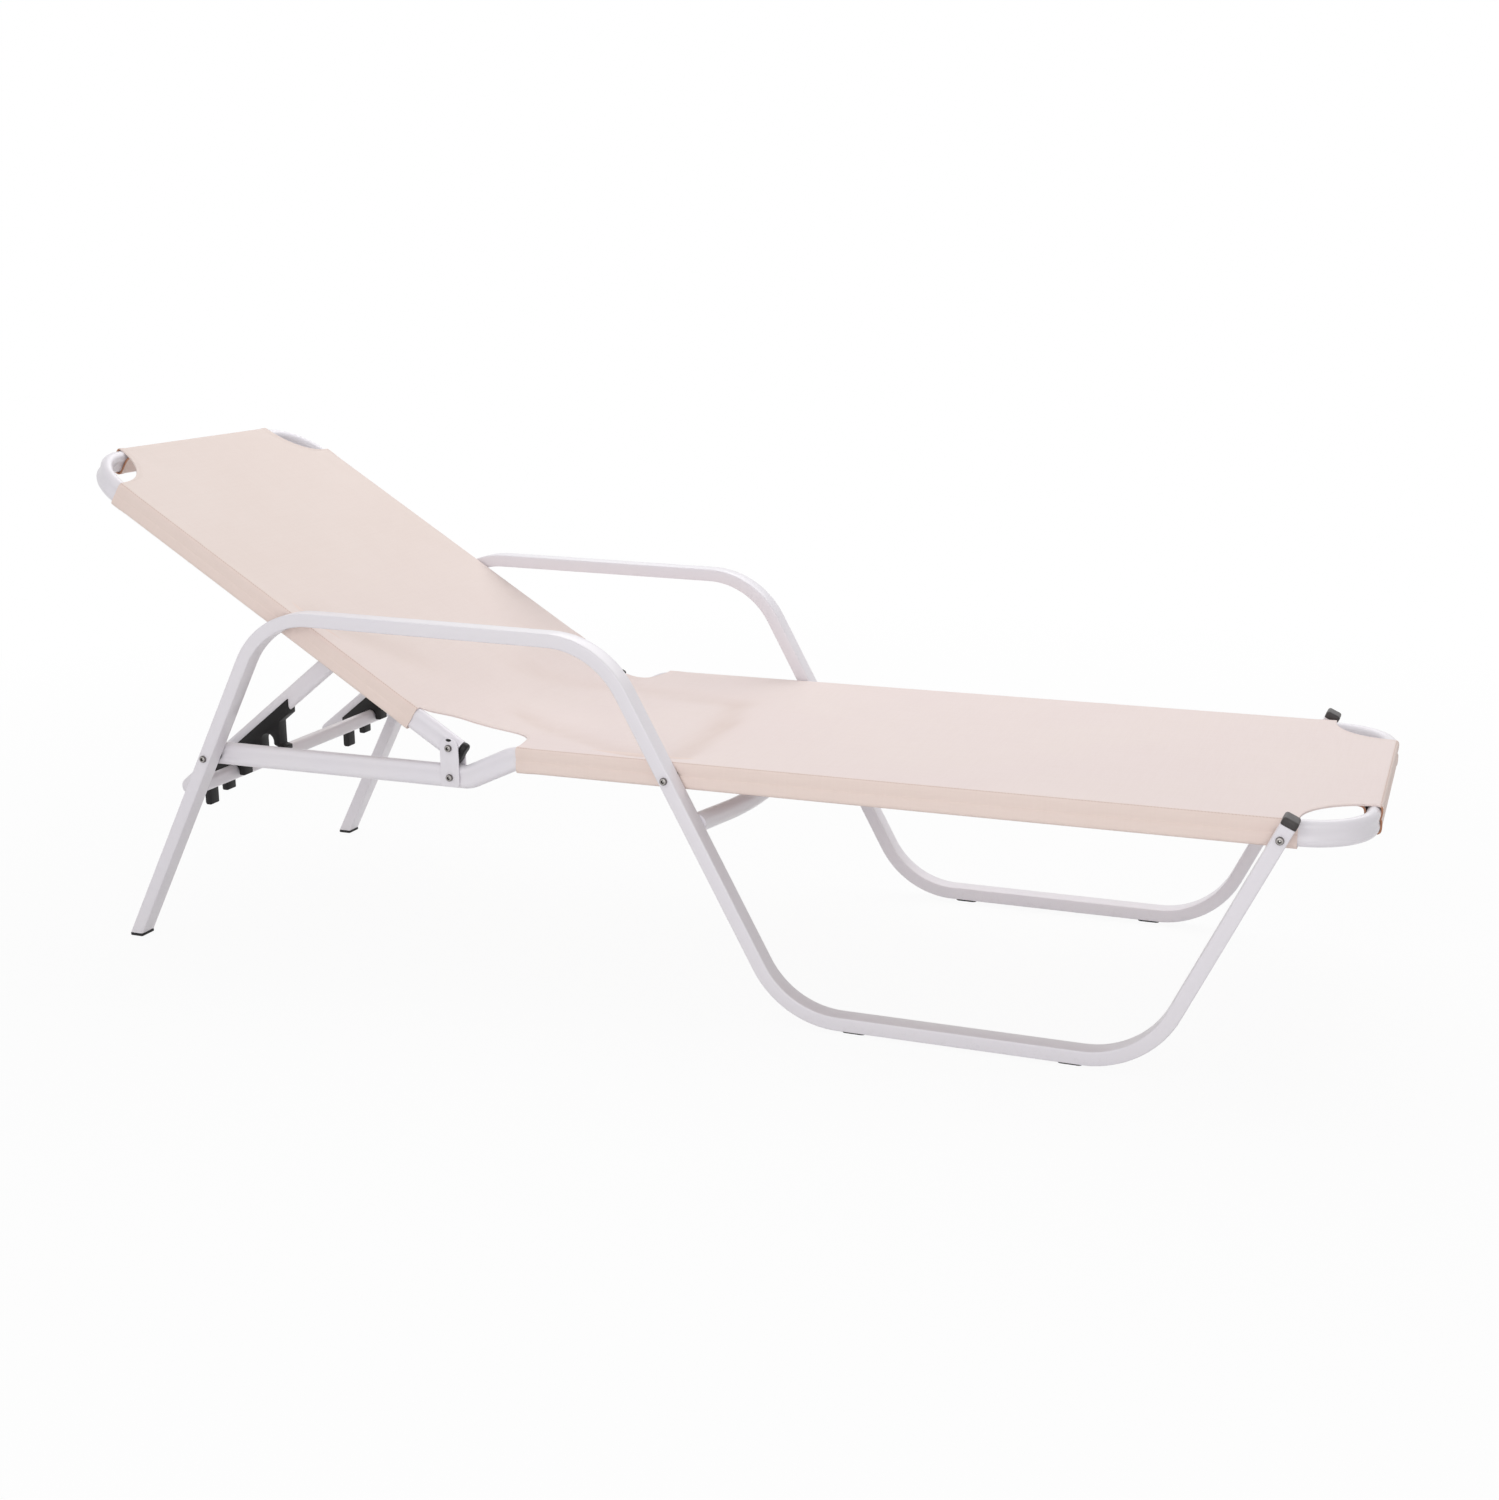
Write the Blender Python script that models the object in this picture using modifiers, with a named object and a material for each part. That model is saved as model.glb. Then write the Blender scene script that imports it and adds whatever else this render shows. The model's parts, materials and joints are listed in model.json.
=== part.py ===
"""Beach lounger: two bent leg frames, a seat frame, a reclining backrest and its comb struts.

Metres, +Z up. The sitter's feet point to +X, so +Y is the sitter's left.
The floor is z = 0. X is measured from the rear feet until the whole is centred at the end.
"""

import math

import bmesh
import bpy
from mathutils import Matrix, Vector

# Leg frames: one bent square tube on each side.
LEG_SPACING = 0.600
LEG_TUBE = 0.025
LEG_CORNER = 0.005
LEG_BEND = 0.130
LEG_FOOT_LIFT = 0.005
ARM_REAR_X = 0.2724
ARM_REAR_Z = 0.5263
ARM_FRONT_X = 0.8148
ARM_FRONT_Z = 0.5194
SKID_REAR_X = 1.0887
SKID_FRONT_X = 1.5827
RISER_TOP_X = 1.7435
RISER_TOP_Z = 0.3530
END_CAP_LENGTH = 0.021
SKID_PAD_THICK = 0.004
SKID_PAD_LENGTH = 0.034
SKID_PAD_WIDTH = 0.019

# Rails of the seat and of the backrest: a two-lobed flat tube.
RAIL_HEIGHT = 0.035
RAIL_WIDTH = 0.018
RAIL_WAIST = 0.0135
HEAD_BEND = 0.073
FOOT_BEND = 0.085
RAIL_SPACER = 0.006
SEAT_Z = 0.336
SEAT_REAR_Z = 0.3015
SEAT_REAR_X = 0.135
KINK_REAR_X = 0.588
KINK_FRONT_X = 0.662
KINK_BEND = 0.040
SEAT_FOOT_X = 1.845

# Backrest, measured along its rails from the hinge axis.
HINGE_X = 0.562
HINGE_Z = 0.3455
BACK_ANGLE = math.radians(32.1)
BACK_LENGTH = 0.733
BACK_TAIL = 0.019
BACK_PLUG = 0.007

# Hinge brackets.
BRACKET_WIDTH = 0.030
BRACKET_THICK = 0.0025
BRACKET_BELOW = 0.0135

# Sling.
CLOTH = 0.0015
HEAD_WINDOW = 0.080
FOOT_WINDOW = 0.092
SEAT_SLEEVE_START = 0.670
BACK_SLEEVE_START = 0.072
WAIST_INSET = 0.078
HINGE_CLEAR = 0.004

# Cross bars.
REAR_BAR_Z = 0.2525
REAR_BAR_HEIGHT = 0.024
REAR_BAR_DEPTH = 0.016
MID_BAR_Z = 0.272
MID_BAR_SAG = 0.020
MID_BAR_DIAMETER = 0.025
MID_BAR_STUB = 0.012
MID_BAR_CRANK = 0.120
MID_BAR_BOW = 1.200
MID_BAR_FLAT = 0.200

# Backrest struts and their combs.
STRUT_SPACING = 0.400
STRUT_HEIGHT = 0.028
STRUT_WIDTH = 0.014
STRUT_SLOPE = math.radians(38.6)
STRUT_REACH = 0.400
AXLE_ALONG = 0.244
AXLE_BELOW = 0.010
AXLE_DIAMETER = 0.016
LUG_LENGTH = 0.024
LUG_DEPTH = 0.013
COMB_WIDTH = 0.021
COMB_PITCH = 0.0435
COMB_NOTCHES = 4
COMB_NOTCH_IN_USE = 2
COMB_NOTCH_WIDTH = 0.023
COMB_NOTCH_PLAY = 0.0015
COMB_TIP_BELOW = 0.018
COMB_NOSE = 0.018
COMB_TOE = 0.009

# Fasteners.
BOLT_DIAMETER = 0.006
BOLT_HEAD = 0.0125
BOLT_HEAD_HIGH = 0.0045
NUT_HIGH = 0.005
SPACER_DIAMETER = 0.018

GAP = 0.0003
ROUND_STEPS = 12
BEND_STEPS = 7

LEG_Y = LEG_SPACING / 2
RAIL_Y = LEG_Y - LEG_TUBE / 2 - RAIL_SPACER - RAIL_WIDTH / 2
BACK_CROSS = BACK_LENGTH - RAIL_WIDTH / 2
FOOT_CROSS_X = SEAT_FOOT_X - RAIL_WIDTH / 2


def clear_scene():
    for obj in list(bpy.data.objects):
        bpy.data.objects.remove(obj, do_unlink=True)
    for group in list(bpy.data.collections):
        bpy.data.collections.remove(group)


def new_collection(name):
    group = bpy.data.collections.new(name)
    bpy.context.scene.collection.children.link(group)
    return group


clear_scene()
PARTS = new_collection("beach_lounger")
CUTTERS = new_collection("cutters")
CUTTERS.hide_render = True


def make_material(name, color, roughness, metallic=0.0):
    mat = bpy.data.materials.new(name)
    mat.use_nodes = True
    shader = mat.node_tree.nodes["Principled BSDF"]
    shader.inputs["Base Color"].default_value = (*color, 1.0)
    shader.inputs["Roughness"].default_value = roughness
    shader.inputs["Metallic"].default_value = metallic
    return mat


WHITE = make_material("white_enamel", (0.80, 0.78, 0.80), 0.30)
BLACK = make_material("black_plastic", (0.02, 0.02, 0.022), 0.45)
GREY = make_material("dark_grey_plastic", (0.06, 0.06, 0.065), 0.40)
STEEL = make_material("bolt_steel", (0.45, 0.45, 0.46), 0.35, 1.0)
FABRIC = make_material("sling_fabric", (0.78, 0.68, 0.62), 0.85)


def empty(name, location, parent=None, turn=0.0):
    node = bpy.data.objects.new(name, None)
    node.empty_display_size = 0.05
    node.location = location
    node.rotation_euler = (0.0, turn, 0.0)
    node.parent = parent
    PARTS.objects.link(node)
    return node


ROOT = empty("lounger_root", (0.0, 0.0, 0.0))
HINGE = empty("backrest_hinge_axis", (HINGE_X, 0.0, HINGE_Z), ROOT, BACK_ANGLE)
STRUT = empty("strut_axle_axis", (-AXLE_ALONG, 0.0, -AXLE_BELOW), HINGE, -STRUT_SLOPE - BACK_ANGLE)


def keep(obj, name, mat, parent=ROOT):
    """Names a finished object and puts it in the parts collection."""
    obj.name = name
    obj.data.name = name
    obj.data.materials.clear()
    obj.data.materials.append(mat)
    for group in list(obj.users_collection):
        group.objects.unlink(obj)
    PARTS.objects.link(obj)
    obj.parent = parent
    obj.data.shade_smooth()
    obj.data.set_sharp_from_angle(angle=math.radians(35))
    return obj


def as_cutter(obj, parent=ROOT):
    for group in list(obj.users_collection):
        group.objects.unlink(obj)
    CUTTERS.objects.link(obj)
    obj.parent = parent
    obj.hide_render = True
    obj.display_type = "WIRE"
    return obj


def boolean(obj, other, operation):
    """Applies one exact Boolean and drops the other object."""
    mod = obj.modifiers.new(operation.lower(), "BOOLEAN")
    mod.operation = operation
    mod.object = other
    bpy.context.view_layer.update()
    graph = bpy.context.evaluated_depsgraph_get()
    mesh = bpy.data.meshes.new_from_object(obj.evaluated_get(graph))
    obj.modifiers.clear()
    obj.data = mesh
    bpy.data.objects.remove(other, do_unlink=True)
    return obj


def curve_to_mesh(obj, name):
    """Turns a curve object into a welded mesh object with outward faces."""
    graph = bpy.context.evaluated_depsgraph_get()
    bpy.context.view_layer.update()
    mesh = bpy.data.meshes.new_from_object(obj.evaluated_get(graph))
    solid = bpy.data.objects.new(name, mesh)
    solid.matrix_world = obj.matrix_world.copy()
    PARTS.objects.link(solid)
    bpy.data.objects.remove(obj, do_unlink=True)
    build = bmesh.new()
    build.from_mesh(mesh)
    bmesh.ops.remove_doubles(build, verts=build.verts, dist=1e-6)
    bmesh.ops.recalc_face_normals(build, faces=build.faces)
    build.to_mesh(mesh)
    build.free()
    return solid


def rounded_path(corners, radii, steps=BEND_STEPS):
    """Centre line through 3-D corners, each inner corner replaced by a tangent arc."""
    corners = [Vector(corner) for corner in corners]
    path = [corners[0]]
    for before, corner, after, radius in zip(corners, corners[1:], corners[2:], radii):
        into = (corner - before).normalized()
        out = (after - corner).normalized()
        turn = into.angle(out)
        start = corner - into * radius * math.tan(turn / 2)
        side = (out - into * out.dot(into)).normalized()
        for step in range(steps + 1):
            angle = turn * step / steps
            path.append(start + into * radius * math.sin(angle) + side * radius * (1 - math.cos(angle)))
    path.append(corners[-1])
    return path


def profile_curve(points):
    data = bpy.data.curves.new("profile", "CURVE")
    data.dimensions = "2D"
    spline = data.splines.new("POLY")
    spline.points.add(len(points) - 1)
    for slot, (across, up) in zip(spline.points, points):
        slot.co = (across, up, 0.0, 1.0)
    spline.use_cyclic_u = True
    obj = bpy.data.objects.new("profile", data)
    PARTS.objects.link(obj)
    return obj


def sweep(name, path, section):
    """Carries a section, given as (across, up) points, along a path that never runs upright."""
    section_obj = profile_curve(section)
    data = bpy.data.curves.new(name, "CURVE")
    data.dimensions = "3D"
    data.twist_mode = "Z_UP"
    spline = data.splines.new("POLY")
    spline.points.add(len(path) - 1)
    for slot, point in zip(spline.points, path):
        slot.co = (*point, 1.0)
    data.bevel_mode = "OBJECT"
    data.bevel_object = section_obj
    data.use_fill_caps = True
    obj = bpy.data.objects.new(name, data)
    PARTS.objects.link(obj)
    bpy.context.view_layer.update()
    solid = curve_to_mesh(obj, name)
    bpy.data.objects.remove(section_obj, do_unlink=True)
    return solid


def plate(name, outline, thick, upright=True):
    """A flat outline of thickness thick: upright lies in XZ and is thick in Y, else in XY and Z."""
    data = bpy.data.curves.new(name, "CURVE")
    data.dimensions = "2D"
    data.fill_mode = "BOTH"
    data.extrude = thick / 2
    spline = data.splines.new("POLY")
    spline.points.add(len(outline) - 1)
    for slot, (u, v) in zip(spline.points, outline):
        slot.co = (u, v, 0.0, 1.0)
    spline.use_cyclic_u = True
    obj = bpy.data.objects.new(name, data)
    PARTS.objects.link(obj)
    if upright:
        obj.rotation_euler = (math.radians(90), 0.0, 0.0)
    bpy.context.view_layer.update()
    solid = curve_to_mesh(obj, name)
    solid.data.transform(solid.matrix_world)
    solid.matrix_world = Matrix.Identity(4)
    return solid


def cylinder(name, center, radius, length, steps=ROUND_STEPS):
    """A cylinder along Y."""
    bpy.ops.mesh.primitive_cylinder_add(vertices=steps, radius=radius, depth=length)
    obj = bpy.context.active_object
    obj.name = name
    obj.data.transform(Matrix.Rotation(math.radians(90), 4, "X"))
    obj.data.transform(Matrix.Translation(center))
    return obj


def turned(name, profile, center, side):
    """A turned piece about Y: the profile is (radius, along), and along grows away from the part."""
    mesh = bpy.data.meshes.new(name)
    points = [(radius, 0.0, along) for radius, along in profile]
    mesh.from_pydata(points, [(i, i + 1) for i in range(len(points) - 1)], [])
    obj = bpy.data.objects.new(name, mesh)
    PARTS.objects.link(obj)
    mod = obj.modifiers.new("turn", "SCREW")
    mod.steps = ROUND_STEPS
    mod.render_steps = ROUND_STEPS
    mod.use_merge_vertices = True
    mod.merge_threshold = 1e-5
    bpy.context.view_layer.update()
    graph = bpy.context.evaluated_depsgraph_get()
    solid = bpy.data.meshes.new_from_object(obj.evaluated_get(graph))
    obj.modifiers.clear()
    obj.data = solid
    build = bmesh.new()
    build.from_mesh(solid)
    bmesh.ops.remove_doubles(build, verts=build.verts, dist=1e-6)
    bmesh.ops.recalc_face_normals(build, faces=build.faces)
    build.to_mesh(solid)
    build.free()
    solid.transform(Matrix.Rotation(math.radians(-90 * side), 4, "X"))
    solid.transform(Matrix.Translation(center))
    return obj


def drill(obj, x, z, y, radius, length):
    hole = cylinder("hole", (x, y, z), radius, length)
    return boolean(obj, hole, "DIFFERENCE")


def square_section(size, corner, grow=0.0):
    half = size / 2 + grow
    corner += grow
    points = []
    for quarter in range(4):
        for step in range(3):
            angle = math.radians(90 * quarter + 45 * step)
            cx = (half - corner) * (1 if quarter in (0, 3) else -1)
            cy = (half - corner) * (1 if quarter in (0, 1) else -1)
            points.append((cx + corner * math.cos(angle), cy + corner * math.sin(angle)))
    return points


def rail_section(grow=0.0):
    """Two round lobes, one above the other, joined by a narrower flat web."""
    radius = RAIL_WIDTH / 2 + grow
    rise = RAIL_HEIGHT / 2 - RAIL_WIDTH / 2
    waist = RAIL_WAIST / 2 + grow
    dip = math.acos(waist / radius)
    points = []
    for lobe in (1, -1):
        for step in range(9):
            angle = -dip + (math.pi + 2 * dip) * step / 8
            if lobe < 0:
                angle += math.pi
            points.append((radius * math.cos(angle), lobe * rise + radius * math.sin(angle)))
    return points


def oval_section(height, depth, grow=0.0, steps=5):
    """A flat-sided oval, taller than deep."""
    radius = depth / 2 + grow
    rise = (height - depth) / 2
    points = []
    for end in (1, -1):
        for step in range(steps + 1):
            angle = math.pi * step / steps + (0 if end > 0 else math.pi)
            points.append((radius * math.cos(angle), end * rise + radius * math.sin(angle)))
    return points


# Leg frame lines -----------------------------------------------------------

SKID_Z = SKID_PAD_THICK + GAP + LEG_TUBE / 2


def on_rear_leg(z):
    """X of the rear leg's centre line at height z."""
    return ARM_REAR_X * z / ARM_REAR_Z


def on_front_leg(z):
    share = (ARM_FRONT_Z - z) / (ARM_FRONT_Z - SKID_Z)
    return ARM_FRONT_X + share * (SKID_REAR_X - ARM_FRONT_X)


def on_riser(z):
    share = (z - SKID_Z) / (RISER_TOP_Z - SKID_Z)
    return SKID_FRONT_X + share * (RISER_TOP_X - SKID_FRONT_X)


BOLT_SPOTS = {
    "rear": (on_rear_leg(SEAT_REAR_Z), SEAT_REAR_Z),
    "mid": (on_front_leg(SEAT_Z), SEAT_Z),
    "foot": (on_riser(SEAT_Z), SEAT_Z),
}
REAR_BAR_X = on_rear_leg(REAR_BAR_Z)
HOLE_RADIUS = BOLT_DIAMETER / 2 + GAP


def leg_frame(name, side):
    low = (on_rear_leg(-LEG_TUBE), -LEG_TUBE)
    corners = [low, (ARM_REAR_X, ARM_REAR_Z), (ARM_FRONT_X, ARM_FRONT_Z)]
    corners += [(SKID_REAR_X, SKID_Z), (SKID_FRONT_X, SKID_Z), (RISER_TOP_X, RISER_TOP_Z)]
    path = rounded_path([(x, side * LEG_Y, z) for x, z in corners], [LEG_BEND] * 4)
    frame = sweep(name, path, square_section(LEG_TUBE, LEG_CORNER))
    bpy.ops.mesh.primitive_cube_add(size=1)
    floor = bpy.context.active_object
    floor.data.transform(Matrix.Diagonal((0.3, 0.2, 0.2, 1.0)))
    floor.data.transform(Matrix.Translation((0.0, side * LEG_Y, LEG_FOOT_LIFT - 0.1)))
    boolean(frame, floor, "DIFFERENCE")
    for x, z in BOLT_SPOTS.values():
        drill(frame, x, z, side * LEG_Y, HOLE_RADIUS, LEG_TUBE * 2)
    return keep(frame, name, WHITE)


def foot_cap(name, side):
    """Sole under the rear foot, as wide as the tube's slanted cut."""
    slant = math.cos(math.atan2(ARM_REAR_X, ARM_REAR_Z))
    outline = [(x / slant, y) for x, y in square_section(LEG_TUBE + 0.0006, LEG_CORNER)]
    thick = LEG_FOOT_LIFT - GAP
    center = on_rear_leg(thick)
    sole = plate(name, [(x + center, y + side * LEG_Y) for x, y in outline], thick, upright=False)
    sole.data.transform(Matrix.Translation((0.0, 0.0, thick / 2)))
    return keep(sole, name, BLACK)


def end_cap(name, side):
    """Rounded plug on the riser's open top."""
    along = Vector((RISER_TOP_X - SKID_FRONT_X, 0.0, RISER_TOP_Z - SKID_Z)).normalized()
    tip = Vector((RISER_TOP_X, side * LEG_Y, RISER_TOP_Z))
    bpy.ops.mesh.primitive_cube_add(size=1)
    cap = bpy.context.active_object
    size = LEG_TUBE + 0.001
    cap.data.transform(Matrix.Diagonal((size, size, END_CAP_LENGTH, 1.0)))
    bevel = cap.modifiers.new("round", "BEVEL")
    bevel.width = 0.006
    bevel.segments = 3
    turn = Vector((0.0, 0.0, 1.0)).rotation_difference(along).to_matrix().to_4x4()
    cap.data.transform(turn)
    cap.data.transform(Matrix.Translation(tip + along * (END_CAP_LENGTH / 2 + GAP)))
    return keep(cap, name, GREY)


def skid_pad(name, side, x):
    bpy.ops.mesh.primitive_cube_add(size=1)
    pad = bpy.context.active_object
    pad.data.transform(Matrix.Diagonal((SKID_PAD_LENGTH, SKID_PAD_WIDTH, SKID_PAD_THICK, 1.0)))
    bevel = pad.modifiers.new("round", "BEVEL")
    bevel.width = 0.0012
    bevel.segments = 2
    pad.data.transform(Matrix.Translation((x, side * LEG_Y, SKID_PAD_THICK / 2)))
    return keep(pad, name, BLACK)


def bolt(name, x, z, side, outer, inner, parent=ROOT):
    """Button-head bolt with its nut; outer and inner are the clamped faces' distances from y = 0."""
    half_head = BOLT_HEAD / 2
    shank = BOLT_DIAMETER / 2
    top = outer + GAP + BOLT_HEAD_HIGH
    seat = outer + GAP
    nut = inner - GAP
    low = nut - NUT_HIGH
    profile = [
        (0.0, top - 0.0012),
        (0.0022, top - 0.0012),
        (0.0028, top),
        (half_head * 0.75, top),
        (half_head, top - 0.0018),
        (half_head, seat),
        (shank, seat),
        (shank, nut),
        (half_head * 0.85, nut),
        (half_head * 0.85, low + 0.0012),
        (half_head * 0.6, low),
        (0.0, low),
    ]
    return keep(turned(name, profile, (x, 0.0, z), side), name, STEEL, parent)


def spacer(name, x, z, side, cover):
    """Ring between leg and rail; cover is the thickness of the cloth that lies on the rail there."""
    length = RAIL_SPACER - cover - 2 * GAP
    y = side * (LEG_Y - LEG_TUBE / 2 - GAP - length / 2)
    ring = cylinder(name, (x, y, z), SPACER_DIAMETER / 2, length)
    drill(ring, x, z, y, HOLE_RADIUS, length * 3)
    return keep(ring, name, BLACK)


# Cross bars ----------------------------------------------------------------


def rear_crossbar():
    """Oval bar that the combs hook over; its ends are shaped to the legs' inner faces."""
    reach = LEG_Y - LEG_TUBE / 2 - GAP
    path = [(REAR_BAR_X, -reach, REAR_BAR_Z), (REAR_BAR_X, reach, REAR_BAR_Z)]
    bar = sweep("rear_crossbar", path, oval_section(REAR_BAR_HEIGHT, REAR_BAR_DEPTH))
    return keep(bar, "rear_crossbar", WHITE)


def mid_crossbar():
    """Round bar between the front legs, bowed down clear of the sling."""
    reach = LEG_Y - LEG_TUBE / 2 - GAP
    x = on_front_leg(MID_BAR_Z)
    low = MID_BAR_Z - MID_BAR_SAG
    crank = reach - MID_BAR_STUB
    half = [(x, reach, MID_BAR_Z), (x, crank, MID_BAR_Z), (x, MID_BAR_FLAT / 2, low)]
    corners = [(px, -py, pz) for px, py, pz in half] + half[::-1]
    path = rounded_path(corners, [MID_BAR_CRANK, MID_BAR_BOW, MID_BAR_BOW, MID_BAR_CRANK], 4)
    section = []
    for step in range(12):
        angle = math.tau * step / 12
        section.append((MID_BAR_DIAMETER / 2 * math.cos(angle), MID_BAR_DIAMETER / 2 * math.sin(angle)))
    return keep(sweep("mid_crossbar", path, section), "mid_crossbar", WHITE)


# Frames of the seat and the backrest ---------------------------------------


def seat_frame():
    """One rail bent into a U at the feet, with a step up in front of the hinge on each side."""
    half = [(SEAT_REAR_X, RAIL_Y, SEAT_REAR_Z), (KINK_REAR_X, RAIL_Y, SEAT_REAR_Z)]
    half += [(KINK_FRONT_X, RAIL_Y, SEAT_Z), (FOOT_CROSS_X, RAIL_Y, SEAT_Z)]
    corners = [(x, -y, z) for x, y, z in half] + half[::-1]
    radii = [KINK_BEND, KINK_BEND, FOOT_BEND, FOOT_BEND, KINK_BEND, KINK_BEND]
    frame = sweep("seat_frame", rounded_path(corners, radii), rail_section())
    for side in (-1, 1):
        for x, z in (*BOLT_SPOTS.values(), (HINGE_X, SEAT_REAR_Z)):
            drill(frame, x, z, side * RAIL_Y, HOLE_RADIUS, RAIL_WIDTH * 2)
    return keep(frame, "seat_frame", WHITE)


def back_frame():
    """The backrest's U, built flat with the hinge axis at its origin and the head at -X."""
    end = BACK_TAIL - BACK_PLUG - GAP
    corners = [(end, -RAIL_Y, 0.0), (-BACK_CROSS, -RAIL_Y, 0.0)]
    corners += [(-BACK_CROSS, RAIL_Y, 0.0), (end, RAIL_Y, 0.0)]
    frame = sweep("back_frame", rounded_path(corners, [HEAD_BEND] * 2), rail_section())
    for side in (-1, 1):
        drill(frame, 0.0, 0.0, side * RAIL_Y, HOLE_RADIUS, RAIL_WIDTH * 2)
    return keep(frame, "back_frame", WHITE, HINGE)


def back_plug(name, side):
    """End plug of a backrest rail, with the rail's own outline."""
    path = [(BACK_TAIL - BACK_PLUG, side * RAIL_Y, 0.0), (BACK_TAIL, side * RAIL_Y, 0.0)]
    return keep(sweep(name, path, rail_section()), name, BLACK, HINGE)


def bracket(name, side, face):
    """Hinge plate on the rail's outer (face 1) or inner (face -1) side, round at the top."""
    half = BRACKET_WIDTH / 2
    low = SEAT_REAR_Z - BRACKET_BELOW
    outline = [(HINGE_X - half + 0.003, low), (HINGE_X + half - 0.003, low), (HINGE_X + half, low + 0.003)]
    for step in range(9):
        angle = math.pi * step / 8
        outline.append((HINGE_X + half * math.cos(angle), HINGE_Z + half * math.sin(angle)))
    outline.append((HINGE_X - half, low + 0.003))
    y = side * (RAIL_Y + face * (RAIL_WIDTH / 2 + GAP + BRACKET_THICK / 2))
    body = plate(name, outline, BRACKET_THICK)
    body.data.transform(Matrix.Translation((0.0, y, 0.0)))
    drill(body, HINGE_X, HINGE_Z, y, HOLE_RADIUS, BRACKET_THICK * 4)
    drill(body, HINGE_X, SEAT_REAR_Z, y, HOLE_RADIUS, BRACKET_THICK * 4)
    return keep(body, name, WHITE)


# Sling ---------------------------------------------------------------------


def sling_outline(near, sleeve, far, window):
    """Half of a panel's edge for +Y, from the hinge end near to the crossbar at far."""
    points = [(near, 0.0), (near, RAIL_Y - WAIST_INSET)]
    for step in range(1, 8):
        angle = math.pi / 2 * step / 8
        x = near + (sleeve - near) * math.sin(angle)
        points.append((x, RAIL_Y - WAIST_INSET * math.cos(angle) ** 1.5))
    points.append((sleeve, RAIL_Y))
    corner_x = far + RAIL_WIDTH / 2
    for step in range(9):
        angle = math.pi / 2 * step / 8
        x = corner_x - window * math.cos(angle)
        points.append((min(x, far), RAIL_Y - window * math.sin(angle)))
    points.append((far, 0.0))
    return points


def sling(name, near, sleeve, far, window, level, flip, parent, holes=()):
    """A cloth panel with sleeves round both rails and the crossbar, cut away at its corners."""
    half = sling_outline(near, sleeve, far, window)
    outline = half + [(x, -y) for x, y in half[-2:0:-1]]
    panel = plate(name, [(flip * x, y) for x, y in outline], CLOTH, upright=False)
    top = level + RAIL_HEIGHT / 2 + GAP + CLOTH
    panel.data.transform(Matrix.Translation((0.0, 0.0, top - CLOTH / 2 - 0.0001)))
    sleeve_end = far + RAIL_WIDTH / 2 - window
    cross_half = RAIL_Y - window
    runs = []
    for side in (-1, 1):
        runs.append([(flip * sleeve, side * RAIL_Y, level), (flip * sleeve_end, side * RAIL_Y, level)])
    runs.append([(flip * far, -cross_half, level), (flip * far, cross_half, level)])
    for run in runs:
        boolean(panel, sweep("sleeve", run, rail_section(GAP + CLOTH)), "UNION")
    for start, end in runs:
        start, end = Vector(start), Vector(end)
        extra = (end - start).normalized() * 0.01
        boolean(panel, sweep("room", [start - extra, end + extra], rail_section(GAP)), "DIFFERENCE")
    for x, z in holes:
        for side in (-1, 1):
            drill(panel, x, z, side * RAIL_Y, HOLE_RADIUS, RAIL_WIDTH * 2)
    return keep(panel, name, FABRIC, parent)


# Struts --------------------------------------------------------------------

# The strut is built along its own -X with the axle at the origin. Where the bar lies in that frame:
AXLE_AT = Vector((HINGE_X, HINGE_Z)) + Vector(
    (
        -AXLE_ALONG * math.cos(BACK_ANGLE) - AXLE_BELOW * math.sin(BACK_ANGLE),
        AXLE_ALONG * math.sin(BACK_ANGLE) - AXLE_BELOW * math.cos(BACK_ANGLE),
    )
)
BAR_FROM_AXLE = Vector((REAR_BAR_X, REAR_BAR_Z)) - AXLE_AT


def plumb_to_strut(across, up):
    """Turns an offset from the bar, level and upright at rest, into the strut's own frame."""
    x = BAR_FROM_AXLE.x + across
    z = BAR_FROM_AXLE.y + up
    return (
        x * math.cos(STRUT_SLOPE) + z * math.sin(STRUT_SLOPE),
        -x * math.sin(STRUT_SLOPE) + z * math.cos(STRUT_SLOPE),
    )


def strut_frame():
    """Axle with two flat-oval arms, each round at its lower end."""
    inside = RAIL_Y - RAIL_WIDTH / 2 - CLOTH - 2 * GAP
    frame = cylinder("strut_frame", (0.0, 0.0, 0.0), AXLE_DIAMETER / 2, 2 * (inside - GAP))
    for side in (-1, 1):
        y = side * STRUT_SPACING / 2
        radius = STRUT_HEIGHT / 2
        straight = STRUT_REACH - radius
        arm = sweep("arm", [(0.0, y, 0.0), (-straight, y, 0.0)], oval_section(STRUT_HEIGHT, STRUT_WIDTH))
        boolean(frame, arm, "UNION")
        for x in (0.0, -straight):
            boolean(frame, rounded_disc(x, y, radius), "UNION")
    return keep(frame, "strut_frame", WHITE, STRUT)


def rounded_disc(x, y, radius):
    """The flattened end of an arm."""
    edge = STRUT_WIDTH * 0.25
    disc = cylinder("disc", (x, y, 0.0), radius - 0.0002, STRUT_WIDTH - 0.0004, 20)
    bevel = disc.modifiers.new("round", "BEVEL")
    bevel.width = edge
    bevel.segments = 2
    bevel.limit_method = "ANGLE"
    bevel.angle_limit = math.radians(60)
    return disc


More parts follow.
